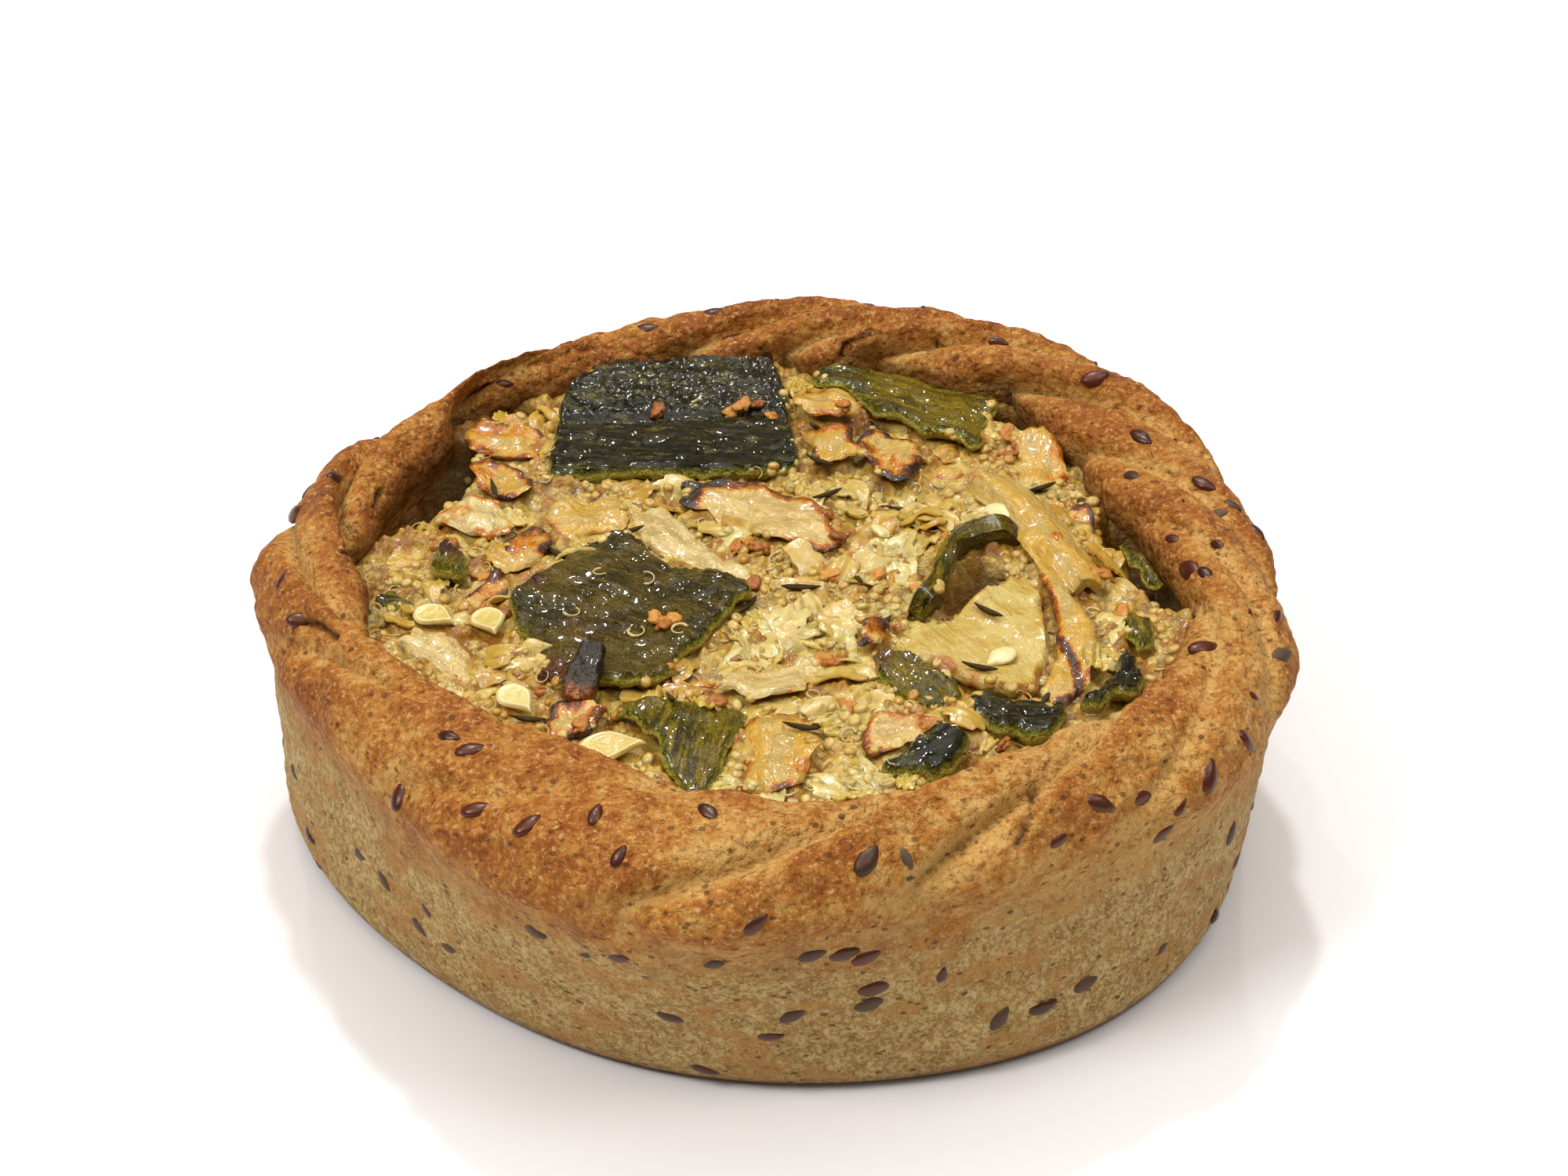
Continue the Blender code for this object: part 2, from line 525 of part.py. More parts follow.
def spread_bits(filling, bits):
    """Shreds of onion, quinoa grains and thyme leaves, the largest first, where the filling lies bare."""
    draw = random.Random(11)
    surface = surface_of(filling)
    outlines = covered_outlines()
    laid = []
    for kind, size, count in SMALL_BITS:
        mesh = bit_mesh(kind, size)
        placed, step = 0, 0
        while placed < count and step < 4000:
            step += 1
            angle = draw.uniform(0, math.tau)
            edge = filling_edge(angle, FILLING_HEIGHT) - 0.5 * size.x - 1.5 * MM
            point = Vector((math.cos(angle), math.sin(angle))) * edge * math.sqrt(draw.random())
            clear = SMALL_BIT_CLEARANCE + (0.25 if kind == "grain" else 0.42) * size.x
            if any(distance_to_outline(point, outline) < clear for outline in outlines):
                continue
            if any((point - other).length < 0.55 * (size.x + reach) for other, reach in laid):
                continue
            place, normal, _, _ = surface.ray_cast(Vector((*point, 60 * MM)), Vector((0, 0, -1)))
            if normal.z < 0.9:
                continue
            lay_bit(mesh, place + normal * 0.12 * size.z, normal, draw.uniform(0, math.pi), bits)
            laid.append((point, size.x))
            placed += 1


def main():
    for obj in list(bpy.data.objects):
        bpy.data.objects.remove(obj)
    tart = bpy.data.collections.new("zucchini_quinoa_tart")
    bpy.context.scene.collection.children.link(tart)
    materials = {name: new_material(name) for name in COLOURS}

    crust = build_cup(tart, materials["crust"])
    filling = build_filling(tart, materials["filling"])
    for obj, spread in ((crust, spread_seeds), (filling, spread_bits)):
        bits = bpy.data.collections.new(obj.name + "_bits")
        bpy.context.scene.collection.children.link(bits)
        spread(obj, bits)
        fuse(obj, bits)

    for name, (material, thickness, outline) in SLABS.items():
        build_slab(name, outline, thickness * MM, tart, materials[material])
    for name, (material, width, height, path) in STRIPS.items():
        build_strip(name, path, width * MM, height * MM, tart, materials[material])
    for number, seed in enumerate(ZUCCHINI_SEEDS, 1):
        build_zucchini_seed(f"zucchini_seed_{number}", seed, tart, materials["zucchini_seed"])
    build_stick(tart, materials["charred"])

    centre = bpy.data.objects.new("tart", None)
    tart.objects.link(centre)
    centre.location = CUP_SHIFT
    for obj in list(tart.objects):
        if obj.type == "MESH":
            obj.parent = centre


main()
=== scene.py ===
"""Looks of a small round zucchini quinoa tart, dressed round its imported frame.

A whole-grain pastry cup with a twisted rope rim and flax seeds, a moist filling of quinoa, onion and
zucchini, and the baked pieces that lie on top. Lengths are in metres unless a note says otherwise. The pieces
are shaped round the middle of the pastry, and CUP_SHIFT then carries them to the frame's place. Azimuths are
counted from +X, anticlockwise seen from above, and -Y is the front.
"""

import itertools
import json
import logging
import math
import random
from contextlib import contextmanager
from dataclasses import dataclass, field
from enum import Enum
from typing import Callable, Iterator, Sequence

import bpy
import numpy as np
from mathutils import Matrix, Vector
from mathutils.bvhtree import BVHTree

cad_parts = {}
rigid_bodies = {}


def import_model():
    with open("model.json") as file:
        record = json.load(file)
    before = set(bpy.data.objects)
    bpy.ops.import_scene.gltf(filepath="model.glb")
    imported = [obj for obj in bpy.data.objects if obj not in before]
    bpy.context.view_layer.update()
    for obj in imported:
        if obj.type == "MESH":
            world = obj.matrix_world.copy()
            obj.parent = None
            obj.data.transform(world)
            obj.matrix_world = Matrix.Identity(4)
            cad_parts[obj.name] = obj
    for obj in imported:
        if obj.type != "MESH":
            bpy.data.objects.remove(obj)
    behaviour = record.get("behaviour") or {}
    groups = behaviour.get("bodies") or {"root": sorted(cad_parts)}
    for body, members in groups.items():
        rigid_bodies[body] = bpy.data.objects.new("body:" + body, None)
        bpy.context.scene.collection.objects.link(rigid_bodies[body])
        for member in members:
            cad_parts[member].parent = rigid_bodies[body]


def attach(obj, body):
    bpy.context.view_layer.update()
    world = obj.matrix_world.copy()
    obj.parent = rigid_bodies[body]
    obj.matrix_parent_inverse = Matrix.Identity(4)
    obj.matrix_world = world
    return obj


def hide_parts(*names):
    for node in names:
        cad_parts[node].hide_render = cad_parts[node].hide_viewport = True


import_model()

LOG = logging.getLogger("tart")
MM = 0.001
CUP_SHIFT = Vector((2.34 * MM, 0.32 * MM, 0.0))
CELL_STEPS = np.array((73856093, 19349663, 83492791), dtype=np.uint64)
CELL_MIXERS = (2246822519, 3266489917)
CELLS_BEFORE_ZERO = 4000
GOLDEN_ANGLE = math.radians(137.508)
UP = Vector((0.0, 0.0, 1.0))

Object, Material, Socket = bpy.types.Object, bpy.types.Material, bpy.types.NodeSocket
Points = np.ndarray
Size = float | Sequence[float]
Wardrobe = dict[str, Material]


def rgb(red: int, green: int, blue: int) -> tuple[float, float, float, float]:
    """Linear colour of these display values from 0 to 255.

    Args:
        red: Red, from 0 to 255.
        green: Green, from 0 to 255.
        blue: Blue, from 0 to 255.

    Returns:
        Red, green and blue from 0 to 1, and an opacity of 1.
    """
    channels = [value / 255 for value in (red, green, blue)]
    linear = [c / 12.92 if c <= 0.04045 else ((c + 0.055) / 1.055) ** 2.4 for c in channels]
    return (*linear, 1.0)


def ramp(value: Points, start: float, end: float) -> Points:
    """Smooth step from 0 at start to 1 at end."""
    t = np.clip((value - start) / (end - start), 0.0, 1.0)
    return t * t * (3 - 2 * t)


def hump(distance: Points, half_width: float) -> Points:
    """Bell curve that is 1 in its middle."""
    return np.exp(-((distance / half_width) ** 2))


def blend(low: Points, high: Points, share: Points) -> Points:
    """The value that lies this share of the way from low to high."""
    return low + (high - low) * share


def columns(*values: Points) -> Points:
    """Rows that hold one of each of these values."""
    return np.stack(values, axis=1)


def metres(line: Sequence) -> Points:
    """Rows given in millimetres."""
    return np.array(line, float) * MM


def cell_value(cells: Points, seed: int) -> Points:
    """A fixed value from 0 to 1 for each row of two or three whole numbers.

    Args:
        cells: The whole numbers, one row each.
        seed: Gives other values.

    Returns:
        One value for each row.
    """
    steps = CELL_STEPS[: cells.shape[1]]
    key = ((cells + CELLS_BEFORE_ZERO).astype(np.uint64) * steps).sum(axis=1) + np.uint64(seed * 7919)
    for mixer in CELL_MIXERS:
        key = ((key ^ (key >> np.uint64(15))) * np.uint64(mixer)) & np.uint64(0xFFFFFFFF)
    return ((key >> np.uint64(8)) & np.uint64(0xFFFF)) / 65535.0


def smooth_noise(points: Points, size: float, seed: int = 0) -> Points:
    """Soft unevenness from -1 to 1 with lumps of about this size.

    Args:
        points: Rows of two or three values.
        size: Size of the lumps.
        seed: Gives another pattern.

    Returns:
        One value for each row.
    """
    cells = points / size
    low = np.floor(cells)
    share = cells - low
    share = share * share * (3 - 2 * share)
    total = np.zeros(len(points))
    for corner in itertools.product((0, 1), repeat=points.shape[1]):
        weight = np.prod(np.where(corner, share, 1 - share), axis=1)
        total += (2 * cell_value(low + corner, seed) - 1) * weight
    return total


def layered_noise(points: Points, size: float, seed: int = 0, layers: int = 3) -> Points:
    """Sum of ever finer and weaker soft noise."""
    return sum(smooth_noise(points, size / 2**n, seed + n) / 2**n for n in range(layers))


def grain_cells(points: Points, size: float, seed: int = 0) -> tuple[Points, Points]:
    """Packs the plane with grains of about this size.

    Args:
        points: Rows whose first two values are used.
        size: Mean distance between two grains.
        seed: Gives another packing.

    Returns:
        The distance to the nearest grain's middle as a share of size, and that grain's own value from 0 to 1.
    """
    flat = points[:, :2] / size
    low = np.floor(flat)
    nearest = np.full(len(points), 9.0)
    own = np.zeros(len(points))
    for step in itertools.product((-1, 0, 1), repeat=2):
        cell = low + step
        middle = cell + 0.5 + 0.7 * (np.stack([cell_value(cell, seed + n) for n in (1, 2)], axis=1) - 0.5)
        distance = np.hypot(*(flat - middle).T)
        closer = distance < nearest
        nearest = np.where(closer, distance, nearest)
        own = np.where(closer, cell_value(cell, seed + 3), own)
    return nearest, own


def feet_on(points: Points, outline: Points) -> Points:
    """The place that is nearest to each point on each side of a closed outline.

    Args:
        points: Rows of x and y.
        outline: The outline's corners.

    Returns:
        Places, by point and by side.
    """
    run = np.roll(outline, -1, axis=0) - outline
    away = points[:, None] - outline[None]
    share = np.clip((away * run).sum(-1) / (run * run).sum(-1), 0, 1)
    return outline[None] + share[..., None] * run


def inside_distance(points: Points, outline: Points) -> Points:
    """Distance from each point to a closed outline, positive inside it and negative outside.

    Args:
        points: Rows of x and y.
        outline: The outline's corners.

    Returns:
        One distance for each point.
    """
    ends = np.roll(outline, -1, axis=0)
    run = ends - outline
    gap = np.linalg.norm(points[:, None] - feet_on(points, outline), axis=-1).min(axis=1)
    y = points[:, 1:2]
    crosses = (outline[:, 1] > y) != (ends[:, 1] > y)
    at = outline[:, 0] + (y - outline[:, 1]) / np.where(run[:, 1] == 0, 1, run[:, 1]) * run[:, 0]
    inside = (crosses & (points[:, 0:1] < at)).sum(axis=1) % 2 == 1
    return np.where(inside, gap, -gap)


def nearest_on_outline(points: Points, outline: Points) -> Points:
    """The place on a closed outline that is nearest to each point.

    Args:
        points: Rows of x and y.
        outline: The outline's corners.

    Returns:
        One place for each point.
    """
    feet = feet_on(points, outline)
    best = np.linalg.norm(points[:, None] - feet, axis=-1).argmin(axis=1)
    return feet[np.arange(len(points)), best]


def smooth_line(points: Points, steps: int, closed: bool) -> Points:
    """A rounded line through the given points, with this many steps from each to the next.

    Args:
        points: The given points, one row each.
        steps: Steps from each point to the next.
        closed: Whether the line runs back to its start.

    Returns:
        The line's points, one row each.
    """
    before, after = np.roll(points, 1, axis=0), np.roll(points, -1, axis=0)
    beyond = np.roll(points, -2, axis=0)
    if not closed:
        before[0], after[-1], beyond[-1], beyond[-2] = points[0], points[-1], points[-1], points[-1]
    square = 2 * before - 5 * points + 4 * after - beyond
    cube = 3 * points - before - 3 * after + beyond
    shares = np.linspace(0, 1, steps, endpoint=False)
    line = columns(*(0.5 * (2 * points + (after - before) * t + square * t**2 + cube * t**3) for t in shares))
    if closed:
        return line.reshape(-1, points.shape[1])
    return np.vstack([line[:-1].reshape(-1, points.shape[1]), points[-1:]])


def pick(*chosen: Object) -> None:
    """Selects this object alone and makes it active, or leaves nothing selected.

    Args:
        chosen: The object, or nothing.
    """
    for obj in bpy.context.view_layer.objects:
        obj.select_set(obj in chosen)
    bpy.context.view_layer.objects.active = chosen[0] if chosen else None


@contextmanager
def editing(obj: Object, everything: bool = True) -> Iterator[None]:
    """Opens this object alone in edit mode, with all of it or what was marked before selected.

    Args:
        obj: The object.
        everything: Whether all of it is selected.

    Yields:
        Nothing, while edit mode is open.
    """
    pick(obj)
    bpy.ops.object.mode_set(mode="EDIT")
    bpy.ops.mesh.select_mode(type="VERT")
    if everything:
        bpy.ops.mesh.select_all(action="SELECT")
    yield
    bpy.ops.object.mode_set(mode="OBJECT")


def points_of(obj: Object, what: str = "co") -> Points:
    """The object's points, or their normals, one row each.

    Args:
        obj: The object.
        what: Either "co" for places or "normal".

    Returns:
        One row of three values for each point.
    """
    values = np.empty(len(obj.data.vertices) * 3, np.float32)
    obj.data.vertices.foreach_get(what, values)
    return values.reshape(-1, 3).astype(float)


def started(add: Callable, **settings: object) -> tuple[Object, Points]:
    """A new object made by this operator, and its points.

    Args:
        add: The operator.
        settings: What the operator is given.

    Returns:
        The object and its points.
    """
    pick()
    add(**settings)
    return bpy.context.object, points_of(bpy.context.object)


def move_points(obj: Object, places: Points) -> None:
    """Moves the object's points to these places."""
    obj.data.vertices.foreach_set("co", places.astype(np.float32).ravel())
    obj.data.update()


def mark_points(obj: Object, chosen: Points) -> None:
    """Selects these points and nothing else, ready for edit mode.

    Args:
        obj: The object.
        chosen: True for each point to be selected.
    """
    for items in (obj.data.edges, obj.data.polygons):
        items.foreach_set("select", np.zeros(len(items), bool))
    obj.data.vertices.foreach_set("select", chosen)


def give_values(obj: Object, name: str, values: Points) -> None:
    """Gives each point of the object a value, or a row of three, for its finish to read.

    Args:
        obj: The object.
        name: Name of the values.
        values: One value or row for each point.
    """
    kind, field_name = ("FLOAT", "value") if values.ndim == 1 else ("FLOAT_VECTOR", "vector")
    attribute = obj.data.attributes.new(name, kind, "POINT")
    attribute.data.foreach_set(field_name, values.astype(np.float32).ravel())


def apply_modifier(obj: Object, kind: str, **settings: object) -> None:
    """Adds one modifier to the object and applies it.

    Args:
        obj: The object.
        kind: The modifier's type.
        settings: The modifier's own settings.
    """
    pick(obj)
    modifier = obj.modifiers.new(kind.lower(), kind)
    for name, value in settings.items():
        setattr(modifier, name, value)
    bpy.ops.object.modifier_apply(modifier=modifier.name)


def right_way_out(obj: Object) -> None:
    """Merges doubles and turns all faces outwards.

    Args:
        obj: The object.
    """
    with editing(obj):
        bpy.ops.mesh.remove_doubles(threshold=0.002 * MM)
        bpy.ops.mesh.normals_make_consistent(inside=False)


def surface_of(*objects: Object) -> BVHTree:
    """The joined surface of these objects, for finding where a ray meets it.

    Args:
        objects: The objects.

    Returns:
        A tree of their faces.
    """
    places, faces, start = [], [], 0
    for obj in objects:
        own = points_of(obj)
        faces += [tuple(start + i for i in polygon.vertices) for polygon in obj.data.polygons]
        places += [tuple(row) for row in own]
        start += len(own)
    return BVHTree.FromPolygons(places, faces)


def turned(places: Points, degrees: float) -> Points:
    """The x and y of each point, turned by this many degrees about the z axis.

    Args:
        places: Rows that start with x and y.
        degrees: The turn, counterclockwise from above.

    Returns:
        Rows of x and y.
    """
    turn = math.radians(degrees)
    x, y = places[:, 0], places[:, 1]
    cosine, sine = math.cos(turn), math.sin(turn)
    return columns(x * cosine - y * sine, x * sine + y * cosine)


class Sheet:
    """The node tree of one finish, put together socket by socket. Sizes are in millimetres."""

    def __init__(self, name: str) -> None:
        """Starts a material of this name with a Principled shader.

        Args:
            name: The material's name.
        """
        self.material = bpy.data.materials.new(name)
        self.material.use_nodes = True
        self.tree = self.material.node_tree

    def plug(self, socket: Socket, value: object) -> None:
        """Links a socket to this input, or sets the input to a constant.

        Args:
            socket: The input.
            value: A socket or a constant.
        """
        if isinstance(value, Socket):
            self.tree.links.new(value, socket)
        else:
            socket.default_value = value

    def node(self, kind: str, inputs: dict, output: int | str = 0, **settings: object) -> Socket:
        """Adds a node of this kind with these inputs and settings, and returns one of its outputs.

        Args:
            kind: The node's type.
            inputs: A socket or a constant for each input named.
            output: Which output is wanted.
            settings: The node's own settings.

        Returns:
            The wanted output.
        """
        made = self.tree.nodes.new(kind)
        for name, value in settings.items():
            setattr(made, name, value)
        for name, value in inputs.items():
            self.plug(made.inputs[name], value)
        return made.outputs[output]

    def place(self) -> Socket:
        """The point's place on the tart, in metres."""
        return self.node("ShaderNodeTexCoord", {}, "Object")

    def value(self, name: str, output: str = "Fac") -> Socket:
        """The value that each point of the piece was given under this name."""
        return self.node("ShaderNodeAttribute", {}, output, attribute_name=name)

    def lay(self) -> Socket:
        """The point's place along and across its own piece, in metres."""
        return self.value("lay", "Vector")

    def scaled(self, vector: Socket, size: Size) -> Socket:
        """The vector counted in this size, or in three sizes along three axes.

        Args:
            vector: The vector, in metres.
            size: One size, or three.

        Returns:
            The counted vector.
        """
        sizes = (size,) * 3 if isinstance(size, (int, float)) else size
        shares = [1 / (own * MM) for own in sizes]
        return self.node("ShaderNodeVectorMath", {0: vector, 1: shares}, operation="MULTIPLY")

    def noise(self, vector: Socket, size: Size, detail: float = 3.0, rough: float = 0.55) -> Socket:
        """Soft noise from 0 to 1 with lumps of this size."""
        inputs = {"Vector": self.scaled(vector, size), "Scale": 1.0, "Detail": detail, "Roughness": rough}
        return self.node("ShaderNodeTexNoise", inputs, "Fac")

    def cells(self, vector: Socket, size: Size) -> Socket:
        """Distance to the nearest middle of scattered cells of this size."""
        inputs = {"Vector": self.scaled(vector, size), "Scale": 1.0}
        return self.node("ShaderNodeTexVoronoi", inputs, "Distance")

    def height(self) -> Socket:
        """The point's height over the floor, in metres."""
        return self.node("ShaderNodeSeparateXYZ", {0: self.place()}, "Z")

    def spread(self, value: Socket, low: float, high: float, start: float = 0.0, end: float = 1.0) -> Socket:
        """Runs smoothly from start to end while the value runs from low to high."""
        inputs = dict(enumerate((value, low, high, start, end)))
        return self.node("ShaderNodeMapRange", inputs, interpolation_type="SMOOTHSTEP")

    def math(self, operation: str, first: object, second: object) -> Socket:
        """One sum of two values."""
        return self.node("ShaderNodeMath", {0: first, 1: second}, operation=operation)

    def times(self, first: object, second: object) -> Socket:
        """The product of two values."""
        return self.math("MULTIPLY", first, second)

    def swing(self, value: Socket) -> Socket:
        """The value counted from its middle, 0.5."""
        return self.math("SUBTRACT", value, 0.5)

    def total(self, *parts: tuple[Socket, object]) -> Socket:
        """The sum of these values, each times its weight.

        Args:
            parts: Pairs of value and weight.

        Returns:
            The sum.
        """
        result, *rest = [self.times(value, weight) for value, weight in parts]
        for term in rest:
            result = self.math("ADD", result, term)
        return result

    def colours(self, value: Socket, *stops: tuple[float, tuple]) -> Socket:
        """A colour that follows the value through these stops.

        Args:
            value: What the colour follows.
            stops: Pairs of position and colour.

        Returns:
            The colour.
        """
        ramp_node = self.tree.nodes.new("ShaderNodeValToRGB")
        elements = ramp_node.color_ramp.elements
        while len(elements) < len(stops):
            elements.new(0.5)
        for element, (position, colour) in zip(elements, stops):
            element.position, element.color = position, colour
        self.plug(ramp_node.inputs[0], value)
        return ramp_node.outputs["Color"]

    def mix(self, share: object, base: object, colour: object) -> Socket:
        """The base with this share of the colour mixed in."""
        return self.node("ShaderNodeMix", {0: share, 6: base, 7: colour}, 2, data_type="RGBA")

    def paint(self, base: object, colour: object, value: Socket, low: float, high: float,
              most: float = 1.0) -> Socket:
        """The base with the colour over it, from none at low to the most at high."""
        return self.mix(self.spread(value, low, high, 0.0, most), base, colour)

    def bump(self, height: Socket, depth: float, below: Socket | None = None) -> Socket:
        """A bumpy surface, where a height of 1 stands this many millimetres proud.

        Args:
            height: Height of the bumps, from 0 to 1.
            depth: How far a height of 1 stands proud.
            below: The coarser bumps under these, if any.

        Returns:
            The bumpy surface.
        """
        inputs = {"Distance": depth * MM, "Height": height}
        if below is not None:
            inputs["Normal"] = below
        return self.node("ShaderNodeBump", inputs, "Normal")

    def finish(self, colour: object, roughness: object, normal: Socket | None = None,
               **constants: object) -> Material:
        """Plugs the shader and returns the material.

        Args:
            colour: Base colour, linked or constant.
            roughness: Roughness, linked or constant.
            normal: The bumpy surface, if there is one.
            constants: Other values of the shader, with an underscore for each blank of a socket's name.

        Returns:
            The finished material.
        """
        values = {"Base_Color": colour, "Roughness": roughness, **constants}
        if normal is not None:
            values["Normal"] = normal
        sockets = self.tree.nodes["Principled BSDF"].inputs
        for name, value in values.items():
            self.plug(sockets[name.replace("_", " ")], value)
        return self.material


def glow(weight: float, *reach: float) -> dict[str, object]:
    """Shader values for light that reaches this far below the surface: red, green and blue."""
    depths = [own * MM for own in reach]
    return {"Subsurface_Weight": weight, "Subsurface_Radius": depths, "Subsurface_Scale": 1.0}


@dataclass(frozen=True)
class PastryFinish:
    """Whole-grain pastry: red-brown and mottled on the rope, pale tan where the tin held it, with husk flecks
    and a band of painted shade at its foot.
    """

    browned: tuple = rgb(154, 88, 28)
    golden: tuple = rgb(182, 122, 50)
    pale: tuple = rgb(200, 154, 84)
    scorched: tuple = rgb(112, 56, 24)
    wall: tuple = rgb(192, 161, 93)
    wall_dark: tuple = rgb(128, 84, 40)
    wall_pale: tuple = rgb(226, 204, 150)
    wall_toasted: tuple = rgb(182, 122, 54)
    moist: tuple = rgb(112, 74, 34)
    # Dark husk colour of the flecks, also used for the painted shade along the bottom edge
    bran_and_base_shade: tuple = rgb(90, 50, 26)
    speck: tuple = rgb(214, 172, 112)
    # Painted shade colour for the cracks and the bottoms of the creases
    cleft: tuple = rgb(58, 28, 14)

    def material(self) -> Material:
        """Builds the material.

        Returns:
            The material.
        """
        sheet = Sheet("pastry")
        place = sheet.place()
        mottle = sheet.noise(place, 2.4, 5.0, 0.72)
        crumb = sheet.noise(place, 0.7, rough=0.7)
        browning = sheet.total((sheet.noise(place, 13.0), 0.4), (mottle, 0.6), (sheet.value("crest"), 0.09))
        rim = sheet.colours(browning, (0.38, self.pale), (0.47, self.golden), (0.57, self.browned),
                            (0.74, self.scorched))
        grain = sheet.total((mottle, 0.25), (crumb, 0.75))
        wall = sheet.colours(grain, (0.40, self.wall_pale), (0.48, self.wall), (0.58, self.wall_dark))
        toasted = sheet.noise(place, (9.0, 9.0, 5.0), 5.0, 0.65)
        wall = sheet.paint(wall, self.wall_toasted, toasted, 0.50, 0.60, 0.55)
        edge = sheet.total((sheet.height(), 1.0), (toasted, 15.0 * MM))
        base = sheet.paint(wall, rim, edge, 25.0 * MM, 38.0 * MM)
        base = sheet.paint(base, self.speck, crumb, 0.54, 0.68, 0.7)
        base = sheet.paint(base, self.scorched, crumb, 0.47, 0.33, 0.6)
        chosen = sheet.math("GREATER_THAN", sheet.noise(place, 1.7, 0.0), 0.56)
        fleck = sheet.times(sheet.spread(sheet.cells(place, (1.9, 1.9, 1.1)), 0.30, 0.16), chosen)
        base = sheet.mix(sheet.times(fleck, 0.75), base, self.bran_and_base_shade)
        # Painted shade along the bottom of the wall, where the tart meets the floor, in the dark husk colour
        base = sheet.mix(sheet.spread(sheet.height(), 0.4 * MM, 2.6 * MM, 0.8, 0.0), base, self.bran_and_base_shade)
        moist = sheet.value("moist")
        base = sheet.mix(sheet.times(moist, 0.75), base, self.moist)
        # Painted shade in the cracks and at the bottoms of the rope's creases
        base = sheet.mix(sheet.times(sheet.value("crack"), 0.85), base, self.cleft)
        fine = sheet.bump(sheet.noise(place, 0.5, rough=0.7), 0.3)
        crumbs = sheet.bump(sheet.math("SUBTRACT", 1.0, sheet.cells(place, 1.3)), 0.5, fine)
        normal = sheet.bump(sheet.noise(place, 1.7, 4.0, 0.6), 0.75, crumbs)
        return sheet.finish(base, sheet.spread(moist, 0.1, 0.9, 0.66, 0.3), normal, Specular_IOR_Level=0.2)


@dataclass(frozen=True)
class FlaxFinish:
    """Glossy flax seeds: red-brown on the rim, grey-brown where the wall covers them thinly."""

    red: tuple = rgb(84, 36, 20)
    dark: tuple = rgb(46, 24, 16)
    grey: tuple = rgb(80, 66, 46)

    def material(self) -> Material:
        """Builds the material.

        Returns:
            The material.
        """
        sheet = Sheet("flax_seed")
        place, tint = sheet.place(), sheet.value("tint")
        tone = sheet.colours(tint, (0.0, self.dark), (0.45, self.red), (0.75, self.dark), (1.0, self.grey))
        base = sheet.paint(tone, self.red, sheet.noise(place, 0.8), 0.35, 0.7, 0.45)
        normal = sheet.bump(sheet.noise(place, 0.3, 2.0), 0.04)
        return sheet.finish(base, sheet.spread(tint, 0.6, 1.0, 0.28, 0.55), normal,
                            Specular_Tint=(1.0, 0.8, 0.66, 1.0))


@dataclass(frozen=True)
class MashFinish:
    """The moist mash of quinoa, onion and zucchini flesh that holds the filling together."""

    pale: tuple = rgb(208, 178, 94)
    yellow: tuple = rgb(188, 146, 42)
    golden: tuple = rgb(164, 106, 22)
    # Painted shade colour for the hollows and the gaps between grains
    deep: tuple = rgb(98, 62, 12)
    toasted: tuple = rgb(150, 78, 22)

    def material(self) -> Material:
        """Builds the material.

        Returns:
            The material.
        """
        sheet = Sheet("quinoa_mash")
        place = sheet.place()
        lumps = sheet.noise(place, 1.8, rough=0.6)
        own = sheet.swing(sheet.value("own"))
        tone = sheet.total((sheet.noise(place, 7.0, 4.0, 0.65), 0.6), (lumps, 0.4), (own, 0.24))
        base = sheet.colours(tone, (0.38, self.pale), (0.50, self.yellow), (0.64, self.golden))
        # Painted shade in the hollows and between the grains
        base = sheet.mix(sheet.times(sheet.value("deep"), 0.8), base, self.deep)
        toast = sheet.times(sheet.spread(sheet.noise(place, 4.2, 4.0), 0.57, 0.7), 0.6)
        base = sheet.mix(toast, base, self.toasted)
        fine = sheet.bump(sheet.noise(place, 0.55, rough=0.65), 0.4)
        normal = sheet.bump(sheet.noise(place, 1.5), 0.6, fine)
        return sheet.finish(base, sheet.spread(lumps, 0.3, 0.7, 0.24, 0.5), normal, Coat_Weight=0.5,
                            Coat_Roughness=0.06, **glow(0.3, 2.0, 1.3, 0.5))


@dataclass(frozen=True)
class BitFinish:
    """Small soft bits, each with its own tint between the stops: rows of position, red, green and blue."""

    name: str
    stops: tuple
    roughness: float = 0.34
    coat: float = 0.5
    bump_size: float = 0.6
    bump_depth: float = 0.3
    glow: float = 0.2
    shine: float = 0.5

    def material(self) -> Material:
        """Builds the material.

        Returns:
            The material.
        """
        sheet = Sheet(self.name)
        place = sheet.place()
        tone = sheet.total((sheet.value("tint"), 1.0), (sheet.swing(sheet.noise(place, 1.4, 2.0)), 0.5))
        base = sheet.colours(tone, *((at, rgb(*channels)) for at, *channels in self.stops))
        normal = sheet.bump(sheet.noise(place, self.bump_size), self.bump_depth)
        return sheet.finish(base, self.roughness, normal, Coat_Weight=self.coat, Coat_Roughness=0.06,
                            Specular_IOR_Level=self.shine, **glow(self.glow, 1.4, 1.0, 0.5))


